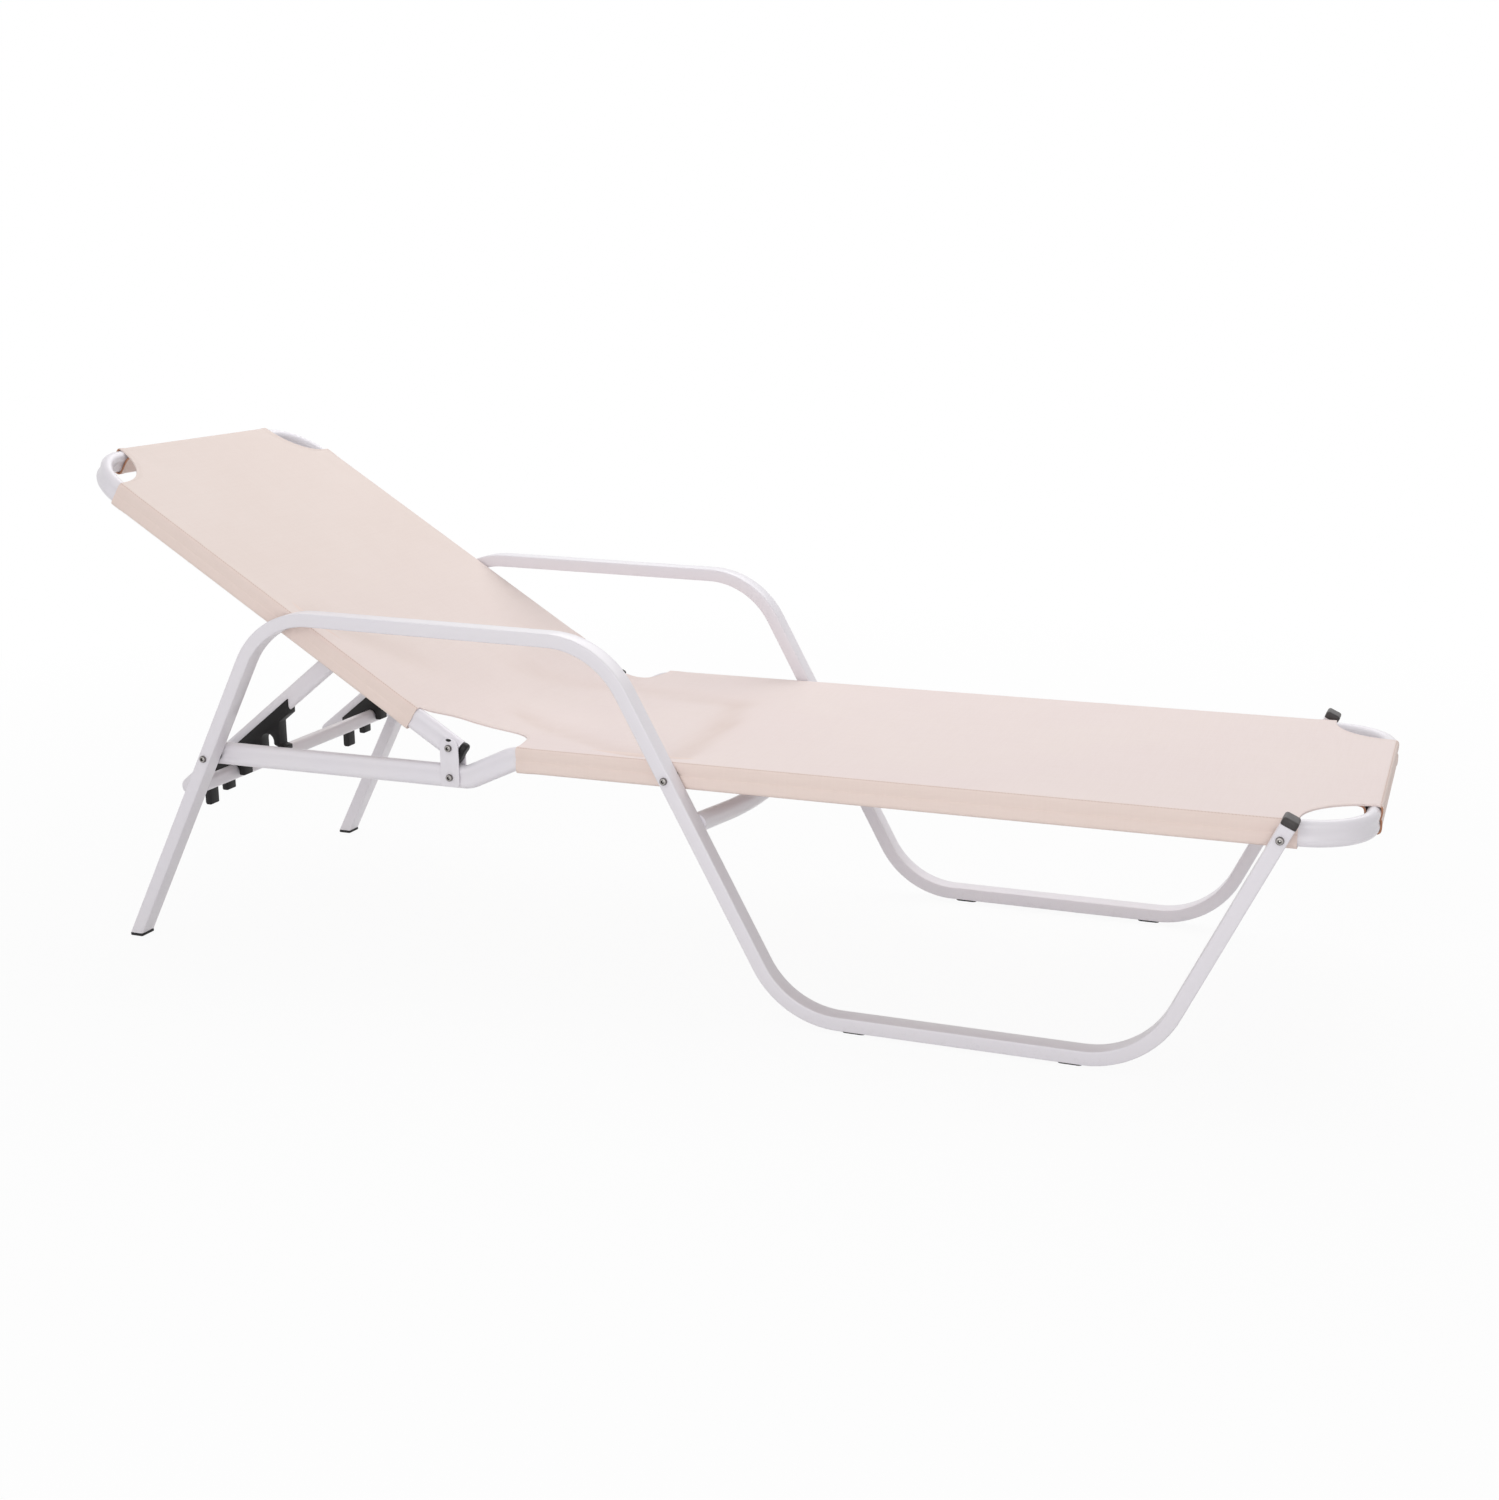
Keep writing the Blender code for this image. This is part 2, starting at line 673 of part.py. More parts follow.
def comb_outline():
    """Comb edge in plumb offsets from the bar: slots open downwards and follow the strut's slope."""
    step_across = COMB_PITCH * math.cos(STRUT_SLOPE)
    step_up = COMB_PITCH * math.sin(STRUT_SLOPE)
    slope = math.tan(STRUT_SLOPE)
    bar = Vector(plumb_to_strut(0.0, 0.0))
    spine = -bar.y / math.cos(STRUT_SLOPE)
    radius = COMB_NOTCH_WIDTH / 2
    tooth = step_across - COMB_NOTCH_WIDTH

    def tip(across):
        return -COMB_TIP_BELOW + slope * across

    points = []
    last = COMB_NOTCHES - 1 - COMB_NOTCH_IN_USE
    left = -last * step_across - radius - tooth
    points.append((left, spine + slope * left))
    points.append((left, tip(left) + 0.003))
    points.append((left + 0.002, tip(left)))
    for notch in range(-last, COMB_NOTCH_IN_USE + 1):
        center = notch * step_across
        crown = notch * step_up + REAR_BAR_HEIGHT / 2 + COMB_NOTCH_PLAY - radius
        points.append((center - radius - 0.0015, tip(center - radius - tooth)))
        points.append((center - radius, tip(center - radius - tooth) + 0.0015))
        for turn in range(9):
            angle = math.pi * (1 - turn / 8)
            points.append((center + radius * math.cos(angle), crown + radius * math.sin(angle)))
        points.append((center + radius, tip(center + radius) + 0.0015))
        points.append((center + radius + 0.0015, tip(center + radius)))
    right = COMB_NOTCH_IN_USE * step_across + radius + tooth
    foot = tip(right - tooth)
    points.append((right + COMB_TOE, foot))
    points.append((right + COMB_TOE, foot + 0.007))
    points.append((right, foot + 0.009))
    under = spine - STRUT_HEIGHT / 2 / math.cos(STRUT_SLOPE) - 0.006
    points.append((right, under + slope * right))
    nose = right + COMB_NOSE
    points.append((nose, under + slope * nose))
    points.append((nose, spine + slope * nose))
    return points


def comb(name, side):
    """Toothed plastic rack that clips round the arm's lower half and hooks over the rear crossbar."""
    outline = [plumb_to_strut(across, up) for across, up in comb_outline()]
    y = side * STRUT_SPACING / 2
    rack = plate(name, outline, COMB_WIDTH)
    rack.data.transform(Matrix.Translation((0.0, y, 0.0)))
    arm = [(0.02, y, 0.0), (-STRUT_REACH, y, 0.0)]
    room = sweep("room", arm, oval_section(STRUT_HEIGHT, STRUT_WIDTH, GAP))
    boolean(rack, room, "DIFFERENCE")
    return keep(rack, name, BLACK, STRUT)


def strut_lug(name, side):
    """Bearing on the inside of a backrest rail for one end of the strut axle."""
    outer = RAIL_Y - RAIL_WIDTH / 2 - CLOTH - 2 * GAP
    y = side * (outer - LUG_DEPTH / 2)
    bpy.ops.mesh.primitive_cube_add(size=1)
    lug = bpy.context.active_object
    lug.data.transform(Matrix.Diagonal((LUG_LENGTH, LUG_DEPTH, LUG_LENGTH, 1.0)))
    bevel = lug.modifiers.new("round", "BEVEL")
    bevel.width = 0.003
    bevel.segments = 2
    lug.data.transform(Matrix.Translation((-AXLE_ALONG, y, -AXLE_BELOW)))
    drill(lug, -AXLE_ALONG, -AXLE_BELOW, y, AXLE_DIAMETER / 2 + GAP, LUG_DEPTH * 3)
    return keep(lug, name, BLACK, HINGE)


def build():
    seat_frame()
    back_frame()
    rear_crossbar()
    mid_crossbar()
    sling(
        "sling_seat", HINGE_X + RAIL_HEIGHT / 2 + CLOTH + HINGE_CLEAR, SEAT_SLEEVE_START,
        FOOT_CROSS_X, FOOT_WINDOW, SEAT_Z, 1, ROOT, (BOLT_SPOTS["mid"], BOLT_SPOTS["foot"]),
    )
    sling("sling_back", HINGE_CLEAR, BACK_SLEEVE_START, BACK_CROSS, HEAD_WINDOW, 0.0, -1, HINGE)
    strut_frame()
    leg_outer = LEG_Y + LEG_TUBE / 2
    rail_inner = RAIL_Y - RAIL_WIDTH / 2
    plate_outer = RAIL_Y + RAIL_WIDTH / 2 + GAP + BRACKET_THICK
    plate_inner = RAIL_Y - RAIL_WIDTH / 2 - GAP - BRACKET_THICK
    for hand, side in (("right", -1), ("left", 1)):
        leg_frame(f"leg_frame_{hand}", side)
        foot_cap(f"foot_cap_{hand}", side)
        end_cap(f"end_cap_{hand}", side)
        pad_in = LEG_BEND * 0.62 + SKID_PAD_LENGTH / 2
        skid_pad(f"skid_pad_{hand}_rear", side, SKID_REAR_X + pad_in)
        skid_pad(f"skid_pad_{hand}_front", side, SKID_FRONT_X - pad_in)
        for spot, (x, z) in BOLT_SPOTS.items():
            cover = 0.0 if spot == "rear" else CLOTH + GAP
            bolt(f"leg_bolt_{hand}_{spot}", x, z, side, leg_outer, rail_inner - cover)
            spacer(f"spacer_{hand}_{spot}", x, z, side, cover)
        bracket(f"bracket_{hand}_outer", side, 1)
        bracket(f"bracket_{hand}_inner", side, -1)
        bolt(f"hinge_bolt_{hand}", HINGE_X, HINGE_Z, side, plate_outer, plate_inner)
        bolt(f"rail_bolt_{hand}", HINGE_X, SEAT_REAR_Z, side, plate_outer, plate_inner)
        back_plug(f"back_plug_{hand}", side)
        strut_lug(f"strut_lug_{hand}", side)
        comb(f"comb_{hand}", side)


def center_on_origin():
    """Moves the whole so that the floor point below the middle of its outline is the origin."""
    bpy.context.view_layer.update()
    xs = []
    for obj in PARTS.objects:
        if obj.type == "MESH":
            xs += [(obj.matrix_world @ Vector(corner)).x for corner in (v.co for v in obj.data.vertices)]
    ROOT.location.x = -(min(xs) + max(xs)) / 2
    bpy.context.view_layer.update()
    print("origin is", round(-ROOT.location.x, 5), "m in front of the rear feet")


build()
center_on_origin()
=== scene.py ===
import json
import math

import bmesh
import bpy
from mathutils import Matrix, Vector


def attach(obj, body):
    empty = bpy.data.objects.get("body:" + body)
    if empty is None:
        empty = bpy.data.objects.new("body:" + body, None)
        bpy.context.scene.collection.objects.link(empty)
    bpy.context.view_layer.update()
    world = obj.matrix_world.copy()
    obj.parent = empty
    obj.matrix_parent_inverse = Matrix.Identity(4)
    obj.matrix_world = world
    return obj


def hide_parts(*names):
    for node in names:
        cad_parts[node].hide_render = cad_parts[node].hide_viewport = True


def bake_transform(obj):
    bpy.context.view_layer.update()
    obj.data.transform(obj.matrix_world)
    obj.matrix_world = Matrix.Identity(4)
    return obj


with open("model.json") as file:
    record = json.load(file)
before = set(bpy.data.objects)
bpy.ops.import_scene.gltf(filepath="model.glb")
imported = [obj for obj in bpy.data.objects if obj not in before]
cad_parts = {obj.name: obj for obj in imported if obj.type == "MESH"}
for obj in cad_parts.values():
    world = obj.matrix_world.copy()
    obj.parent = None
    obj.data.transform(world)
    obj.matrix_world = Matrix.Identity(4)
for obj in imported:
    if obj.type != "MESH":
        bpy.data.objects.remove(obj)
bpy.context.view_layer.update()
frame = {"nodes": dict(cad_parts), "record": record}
bpy.context.scene.view_settings.view_transform = "Standard"

rearFeet = 0.89009  # how far the rear feet stand behind the middle of the outline
gap = 0.0003  # air left between two pieces that meet
handOf = {-1: "right", 1: "left"}


def at(x, y, z):
    return Vector((x - rearFeet, y, z))  # x counted from the rear feet


# the camera

shot = {
    "place": (1.05833, -2.66959, 1.03364),
    "yaw": 0.3680,
    "pitch": 0.2493,
    "roll": -0.0063,
    "lens": 46.593,
    "sensor": 36.0,
    "near": 0.05,
    "far": 50.0,
}


def addCamera(s):
    yaw, pitch, roll = s["yaw"], s["pitch"], s["roll"]
    ahead = Vector((-math.sin(yaw) * math.cos(pitch), math.cos(yaw) * math.cos(pitch), -math.sin(pitch)))
    flat = Vector((math.cos(yaw), math.sin(yaw), 0.0))
    lift = flat.cross(ahead)
    right = flat * math.cos(roll) + lift * math.sin(roll)
    up = -flat * math.sin(roll) + lift * math.cos(roll)
    bpy.ops.object.camera_add(location=(0, 0, 0))
    cam = bpy.context.active_object
    turn = Matrix((right, up, -ahead)).transposed().to_4x4()
    cam.matrix_world = Matrix.Translation(s["place"]) @ turn
    cam.data.sensor_width = s["sensor"]
    cam.data.lens = s["lens"]
    cam.data.clip_start, cam.data.clip_end = s["near"], s["far"]
    bpy.context.scene.camera = cam


addCamera(shot)
print("camera set")

# helpers for node trees


def wireUp(tree, slot, value):
    # a link for a Wire, a fixed number or colour for anything else
    if isinstance(value, Wire):
        tree.links.new(value.socket, slot)
    elif slot.type == "RGBA" and len(value) == 3:
        slot.default_value = (*value, 1.0)
    else:
        slot.default_value = value


def mathNode(tree, operation, *values):
    node = tree.nodes.new("ShaderNodeMath")
    node.operation = operation
    for slot, value in zip(node.inputs, values):
        wireUp(tree, slot, value)
    return Wire(tree, node.outputs[0])


class Wire:
    # one socket, with arithmetic that adds Math nodes
    def __init__(self, tree, socket):
        self.tree, self.socket = tree, socket

    def maths(self, operation, *others):
        return mathNode(self.tree, operation, self, *others)

    def __add__(self, other):
        return self.maths("ADD", other)

    def __radd__(self, other):
        return mathNode(self.tree, "ADD", other, self)

    def __sub__(self, other):
        return self.maths("SUBTRACT", other)

    def __rsub__(self, other):
        return mathNode(self.tree, "SUBTRACT", other, self)

    def __mul__(self, other):
        return self.maths("MULTIPLY", other)

    def __rmul__(self, other):
        return mathNode(self.tree, "MULTIPLY", other, self)


class Board:
    # a node tree, with one method that adds any kind of node
    def __init__(self, tree):
        self.tree = tree

    def node(self, kind, settings=None, inputs=None, out=0):
        node = self.tree.nodes.new("ShaderNode" + kind)
        for key, value in (settings or {}).items():
            if key == "stops":
                ramp = node.color_ramp.elements
                while len(ramp) < len(value):
                    ramp.new(0.5)
                for stop, (place, color) in zip(ramp, value):
                    stop.position, stop.color = place, (*color, 1.0)
            else:
                setattr(node, key, value)
        for key, value in (inputs or {}).items():
            wireUp(self.tree, node.inputs[key], value)
        return Wire(self.tree, node.outputs[out]) if node.outputs else None

    def span(self, value, low, high, start=0.0, end=1.0):
        # from low..high to start..end, held at both ends
        sockets = {"Value": value, "From Min": low, "From Max": high, "To Min": start, "To Max": end}
        return self.node("MapRange", inputs=sockets)


class Finish(Board):
    # a material and what feeds its Principled shader
    def __init__(self, name, fixed):
        self.mat = bpy.data.materials.new(name)
        self.mat.use_nodes = True
        super().__init__(self.mat.node_tree)
        self.shader = self.tree.nodes["Principled BSDF"]
        for socket, value in fixed.items():
            self.feed(socket, value)

    def feed(self, socket, value):
        wireUp(self.tree, self.shader.inputs[socket], value)

    def place(self):
        return self.node("TexCoord", out="Object")

    def mark(self, name):
        return self.node("Attribute", {"attribute_name": name}, out="Fac")

    def axis(self, where, number):
        return self.node("SeparateXYZ", inputs={"Vector": where}, out=number)

    def noise(self, where, scale, detail=3.0, roughness=0.5, stretch=None):
        if stretch:
            where = self.node("Mapping", inputs={"Vector": where, "Scale": stretch})
        sockets = {"Vector": where, "Scale": scale, "Detail": detail, "Roughness": roughness}
        return self.node("TexNoise", inputs=sockets)

    def blendColor(self, share, first, second):
        # sockets 6 and 7 are the two colours of a Mix node, and output 2 is its colour
        return self.node("Mix", {"data_type": "RGBA"}, {0: share, 6: first, 7: second}, 2)

    def bump(self, height, strength, distance):
        sockets = {"Height": height, "Strength": strength, "Distance": distance}
        self.feed("Normal", self.node("Bump", inputs=sockets))


# the finishes

enamelLook = {
    "color": (0.775, 0.745, 0.795),
    "warm": (0.790, 0.758, 0.790),
    "grime": (0.42, 0.39, 0.36),
    "rough": (0.25, 0.37),  # where it is smoothest and roughest
    "coat": 0.20,
    "coatRough": 0.24,
    "cloudScale": 7.0,
    "smearScale": 30.0,
    "flowScale": 45.0,  # slow waves of sprayed paint
    "speckScale": 160.0,
    "scuffHeight": (0.026, 0.004),  # above the floor, where scuffs begin and are full
    "scuffShare": 0.16,
    "scuffRough": 0.10,
    "bump": (0.05, 0.0006),  # strength and depth
}
plasticLook = {"color": (0.008, 0.0072, 0.0076), "worn": (0.020, 0.018, 0.018), "rough": (0.42, 0.56)}
capLook = {"color": (0.052, 0.046, 0.046), "worn": (0.105, 0.096, 0.092), "rough": (0.36, 0.50)}
plasticGrain = {"gloss": 0.28, "rubScale": 55.0, "grainScale": 1400.0, "bump": (0.22, 0.0004)}
boltLook = {
    "dark": (0.10, 0.095, 0.09),
    "rough": (0.28, 0.50),
    "stainScale": 260.0,
    "grainScale": 1800.0,
    "bump": (0.10, 0.0002),
    # colour from the middle of the head to its rim: a painted highlight on the key's floor, painted shade
    # inside the key and round the rim
    "lightAndShadeRings": (
        (0.0, (0.85, 0.84, 0.83)),
        (0.17, (0.60, 0.58, 0.57)),
        (0.27, (0.09, 0.085, 0.08)),
        (0.50, (0.12, 0.11, 0.105)),
        (0.56, (0.38, 0.36, 0.35)),
        (0.80, (0.34, 0.32, 0.31)),
        (0.97, (0.10, 0.09, 0.09)),
    ),
}
clothLook = {
    # one cloth: the backrest's warmer, darker tone is painted shade, the seat's is the lit tone
    "back": (0.822, 0.710, 0.664),
    "seat": (0.838, 0.726, 0.706),
    "turnsAt": (0.30, 0.80),  # metres from the head over which one colour becomes the other
    "pale": (0.862, 0.764, 0.722),
    # warmer tone painted on the sleeves round the rails, a painted shade of their sides and undersides
    "sleeve": (0.846, 0.706, 0.650),
    "deep": (0.700, 0.560, 0.500),
    # brown of the end sleeves' edges beside the windows
    "tape": (0.46, 0.22, 0.13),
    "shadow": (0.50, 0.33, 0.27),
    "stitch": 0.0042,
    "thread": 0.0011,
    "slubScale": 260.0,
    "slubStretch": 0.05,
    "cloudScale": 5.0,
    "hemShare": 0.12,
    # share of painted shade laid into the hollows of the folds
    "creaseShadeShare": 0.42,
    "rough": (0.82, 0.92),
    "sheen": 0.12,
    "sheenRough": 0.45,
    "bump": (0.28, 0.0003),
}


def finishEnamel(s):
    f = Finish("whiteEnamel", {"Coat Roughness": s["coatRough"]})
    spot = f.place()
    cloudy = f.noise(spot, s["cloudScale"], 2.0)
    tone = f.blendColor(f.span(cloudy, 0.2, 0.8), s["color"], s["warm"])
    specks = f.noise(spot, s["speckScale"], 4.0, 0.65)
    scuff = f.span(f.axis(spot, 2), *s["scuffHeight"]) * f.span(specks, 0.54, 0.70)
    f.feed("Base Color", f.blendColor(scuff * s["scuffShare"], tone, s["grime"]))
    smear = f.noise(spot, s["smearScale"])
    f.feed("Roughness", f.span(smear, 0.1, 0.9, *s["rough"]) + scuff * s["scuffRough"])
    f.feed("Coat Weight", s["coat"] - scuff * s["scuffRough"])
    f.bump(f.noise(spot, s["flowScale"], 1.0), *s["bump"])
    return f.mat


def finishPlastic(name, s, g):
    f = Finish(name, {"Specular IOR Level": g["gloss"]})
    spot = f.place()
    rub = f.noise(spot, g["rubScale"], 5.0, 0.6)
    f.feed("Base Color", f.blendColor(f.span(rub, 0.50, 0.78), s["color"], s["worn"]))
    f.feed("Roughness", f.span(rub, 0.3, 0.7, *s["rough"]))
    f.bump(f.noise(spot, g["grainScale"], 2.0), *g["bump"])
    return f.mat


def finishBolt(s):
    f = Finish("boltSteel", {"Metallic": 1.0})
    spot = f.place()
    stain = f.noise(spot, s["stainScale"], 4.0, 0.6)
    # painted highlight and shade on the head, by distance from its middle
    tone = f.node("ValToRGB", {"stops": s["lightAndShadeRings"]}, {"Fac": f.mark("rim")})
    f.feed("Base Color", f.blendColor(f.span(stain, 0.50, 0.80, 0.0, 0.5), tone, s["dark"]))
    f.feed("Roughness", f.span(stain, 0.3, 0.7, *s["rough"]))
    f.bump(f.noise(spot, s["grainScale"], 2.0), *s["bump"])
    return f.mat


def finishCloth(s):
    f = Finish("slingCloth", {"Sheen Weight": s["sheen"], "Sheen Roughness": s["sheenRough"]})
    lay = f.node("UVMap", {"uv_map": "weave"})
    across, along = f.axis(lay, 0), f.axis(lay, 1)
    turn = math.tau / (2 * s["thread"])
    # plain weave: each thread goes over one and under one
    over = (across * turn).maths("SINE") * (along * turn).maths("SINE")
    warpHump = (across * turn).maths("COSINE").maths("ABSOLUTE")
    weftHump = (along * turn).maths("COSINE").maths("ABSOLUTE")
    top = f.span(over, -0.25, 0.25)
    threads = warpHump * top + weftHump * (1 - top)
    thin = s["slubStretch"]
    slub = f.noise(lay, s["slubScale"], 2.0, 0.5, (1.0, thin, 1.0))
    slub = slub + f.noise(lay, s["slubScale"], 2.0, 0.5, (thin, 1.0, 1.0))
    # painted shade: the backrest's end of the cloth turns warmer and darker than the seat's
    tone = f.blendColor(f.span(along, *s["turnsAt"]), s["back"], s["seat"])
    cloudy = f.noise(lay, s["cloudScale"], 2.0)
    tone = f.blendColor(f.span(cloudy, 0.35, 0.65, 0.0, 0.30), tone, s["pale"])
    # painted shade: the sleeves round the rails take the warmer tone of cloth in shade
    tone = f.blendColor(f.mark("sleeve"), tone, s["sleeve"])
    tone = f.blendColor(f.span(threads, 0.1, 0.9, 0.18, 0.0), tone, s["deep"])
    tone = f.blendColor(f.span(slub, 0.85, 1.2, 0.0, 0.05), tone, s["deep"])
    tone = f.blendColor(f.mark("hem") * s["hemShare"], tone, s["deep"])
    # painted shade in the folds' hollows, as deep as each fold sinks
    tone = f.blendColor(f.mark("crease") * s["creaseShadeShare"], tone, s["deep"])
    run = (along + across) * (math.tau / s["stitch"])
    stitches = f.span(run.maths("SINE"), -0.3, 0.5, 0.30, 0.62)
    # painted shade along the seam's crease, broken into dashes by the stitches
    tone = f.blendColor(f.span(f.mark("seam"), 0.35, 0.95) * stitches, tone, s["shadow"])
    # brown strip on the end sleeves' edges beside the windows
    f.feed("Base Color", f.blendColor(f.mark("tape"), tone, s["tape"]))
    f.feed("Roughness", f.span(slub, 0.8, 1.2, *s["rough"]))
    f.bump(threads + slub * 0.4, *s["bump"])
    return f.mat


finishOfSlot = {
    "white_enamel": finishEnamel(enamelLook),
    "black_plastic": finishPlastic("blackPlastic", plasticLook, plasticGrain),
    "dark_grey_plastic": finishPlastic("greyPlastic", capLook, plasticGrain),
    "bolt_steel": finishBolt(boltLook),
    "sling_fabric": finishCloth(clothLook),
}
for row in frame["record"]["subparts"]:
    node = frame["nodes"][row["node"]]
    node.data.materials.clear()
    node.data.materials.append(finishOfSlot[row["material_slot"]])
print("finishes made")

# helpers for modelling


hair = 1e-5  # heights closer than this are one height
smoothUnder = math.radians(38)  # faces that meet flatter than this are shaded smooth


def clearChoice():
    if bpy.context.mode != "OBJECT":
        bpy.ops.object.mode_set(mode="OBJECT")
    bpy.ops.object.select_all(action="DESELECT")


def choose(obj):
    clearChoice()
    obj.select_set(True)
    bpy.context.view_layer.objects.active = obj


def link(name, mesh):
    obj = bpy.data.objects.new(name, mesh)
    bpy.context.scene.collection.objects.link(obj)
    choose(obj)
    return obj


def pick(obj, kind, wanted):
    # edit mode, with only those faces or edges chosen that pass the test
    choose(obj)
    bpy.ops.object.mode_set(mode="EDIT")
    bpy.ops.mesh.select_mode(type=kind)
    bpy.ops.mesh.select_all(action="DESELECT")
    shape = bmesh.from_edit_mesh(obj.data)
    for part in shape.faces if kind == "FACE" else shape.edges:
        part.select = wanted(part)
    bmesh.update_edit_mesh(obj.data)


def bevelPicked(width, segments):
    bpy.ops.mesh.bevel(offset=width, segments=segments, affect="EDGES")
    bpy.ops.object.mode_set(mode="OBJECT")


def upright(edge):
    return abs(edge.verts[0].co.z - edge.verts[1].co.z) > hair


def applyPlace():
    bpy.ops.object.transform_apply(location=True, rotation=True, scale=True)
    return bpy.context.active_object


def rod(sides, radius, length, middle):
    # a cylinder that lies along Y
    clearChoice()
    turn = (math.radians(90), 0, 0)
    bpy.ops.mesh.primitive_cylinder_add(
        vertices=sides, radius=radius, depth=length, location=middle, rotation=turn
    )
    return applyPlace()


def block(size, middle=(0, 0, 0)):
    clearChoice()
    bpy.ops.mesh.primitive_cube_add(size=1, location=middle, scale=size)
    return applyPlace()


def fromFace(name, points):
    # a new object that holds one flat face, chosen and open for editing
    mesh = bpy.data.meshes.new(name)
    mesh.from_pydata(points, [], [range(len(points))])
    obj = link(name, mesh)
    bpy.ops.object.mode_set(mode="EDIT")
    bpy.ops.mesh.select_mode(type="FACE")
    bpy.ops.mesh.select_all(action="SELECT")
    return obj


def pull(by):
    bpy.ops.mesh.extrude_region_move(TRANSFORM_OT_translate={"value": by})


def closeUp():
    bpy.ops.mesh.select_all(action="SELECT")
    bpy.ops.mesh.normals_make_consistent(inside=False)
    bpy.ops.object.mode_set(mode="OBJECT")


def slab(name, points, by):
    # a flat outline pulled out to a solid
    obj = fromFace(name, points)
    pull(by)
    closeUp()
    return obj


def softenEdges(obj, width, segments=3, angle=40):
    choose(obj)
    mod = obj.modifiers.new("edges", "BEVEL")
    mod.width, mod.segments, mod.limit_method = width, segments, "ANGLE"
    mod.angle_limit = math.radians(angle)
    bpy.ops.object.modifier_apply(modifier=mod.name)
    return obj


def cutAway(obj, other, operation="DIFFERENCE"):
    choose(obj)
    mod = obj.modifiers.new("cut", "BOOLEAN")
    mod.operation, mod.object, mod.solver = operation, other, "EXACT"
    bpy.ops.object.modifier_apply(modifier=mod.name)
    bpy.data.objects.remove(other, do_unlink=True)


def settle(obj, name, body, slot, *nodes):
    # finished: smooth faces, finish, body, and the CAD nodes it stands for
    choose(obj)
    applyPlace()
    bpy.ops.object.shade_smooth_by_angle(angle=smoothUnder)
    obj.name = obj.data.name = name
    obj.data.materials.clear()
    obj.data.materials.append(finishOfSlot[slot])
    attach(obj, body)
    if nodes:
        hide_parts(*nodes)


def tube(name, corners, radii, outline, bendSteps=14):
    # a section pulled along straights and spun round each bend
    forward = (corners[1] - corners[0]).normalized()
    up = (Vector((0, 0, 1)) - forward * forward.z).normalized()
    across = forward.cross(up)
    obj = fromFace(name, [corners[0] + across * a + up * u for a, u in outline])
    here = corners[0]
    for before, corner, after, radius in zip(corners, corners[1:], corners[2:], radii):
        into, out = (corner - before).normalized(), (after - corner).normalized()
        turn = into.angle(out)
        setback = radius * math.tan(turn / 2)
        side = (out - into * out.dot(into)).normalized()
        arcStart = corner - into * setback
        pull(arcStart - here)
        pivot = arcStart + side * radius
        bpy.ops.mesh.spin(steps=bendSteps, angle=-turn, center=pivot, axis=into.cross(side))
        here = corner + out * setback
    pull(corners[-1] - here)
    closeUp()
    return obj


def mirrored(half):
    # corners of a frame from its right half: the same points again on the left, in reverse
    return [at(x, -y, z) for x, y, z in half] + [at(x, y, z) for x, y, z in reversed(half)]


def arc(radius, start, sweep, steps, cx=0.0, cy=0.0):
    # points round a circle's middle, angles in degrees
    turns = [math.radians(start + sweep * k / steps) for k in range(steps + 1)]
    return [(cx + radius * math.cos(turn), cy + radius * math.sin(turn)) for turn in turns]


def roundedBox(across, up, corner, steps=4):
    cx, cy = across / 2 - corner, up / 2 - corner
    points = arc(corner, 0, 90, steps, cx, cy) + arc(corner, 90, 90, steps, -cx, cy)
    return points + arc(corner, 180, 90, steps, -cx, -cy) + arc(corner, 270, 90, steps, cx, -cy)


def twinLobe(s, grow=0.0, steps=14):
    # two round lobes, one above the other, with a narrower web between
    radius = s["width"] / 2 + grow
    rise = s["height"] / 2 - s["width"] / 2
    dip = math.degrees(math.acos((s["waist"] / 2 + grow) / radius))
    sweep = 180 + 2 * dip
    return arc(radius, -dip, sweep, steps, 0, rise) + arc(radius, 180 - dip, sweep, steps, 0, -rise)


def flatOval(height, depth, steps=10):
    rise = (height - depth) / 2
    return arc(depth / 2, 0, 180, steps, 0, rise) + arc(depth / 2, 180, 180, steps, 0, -rise)


# leg frames: rear leg, armrest, front leg, skid and riser in one tube

legs = {
    "y": 0.300,
    "wide": 0.030,
    "deep": 0.020,
    "corner": 0.0023,
    "bend": 0.130,
    "bendSteps": 18,
    # corners of the tube's middle line, x from the rear feet and height
    "line": ((0.2724, 0.5263), (0.8148, 0.5194), (1.0887, 0.0145), (1.5827, 0.0145), (1.7435, 0.3530)),
    "below": -0.02,  # the rear leg starts under the floor and is cut level
    "cutAt": 0.005,
}
legInside = legs["y"] - legs["wide"] / 2
legOutside = legs["y"] + legs["wide"] / 2


def legLineX(z, low, high):
    return low[0] + (high[0] - low[0]) * (z - low[1]) / (high[1] - low[1])


def rearLegX(z):
    return legLineX(z, (0, 0), legs["line"][0])


def makeLeg(s, side):
    line = ((rearLegX(s["below"]), s["below"]), *s["line"])
    corners = [at(x, side * s["y"], z) for x, z in line]
    section = roundedBox(s["wide"], s["deep"], s["corner"])
    leg = tube("legTube", corners, [s["bend"]] * 4, section, s["bendSteps"])
    bpy.ops.object.mode_set(mode="EDIT")
    bpy.ops.mesh.select_all(action="SELECT")
    bpy.ops.mesh.bisect(plane_co=(0, 0, s["cutAt"]), plane_no=(0, 0, 1), clear_inner=True, use_fill=True)
    closeUp()
    hand = handOf[side]
    settle(leg, f"legTube_{hand}", "base", "white_enamel", f"leg_frame_{hand}")


for side in (-1, 1):
    makeLeg(legs, side)
print("leg frames made")

# rails of seat and backrest

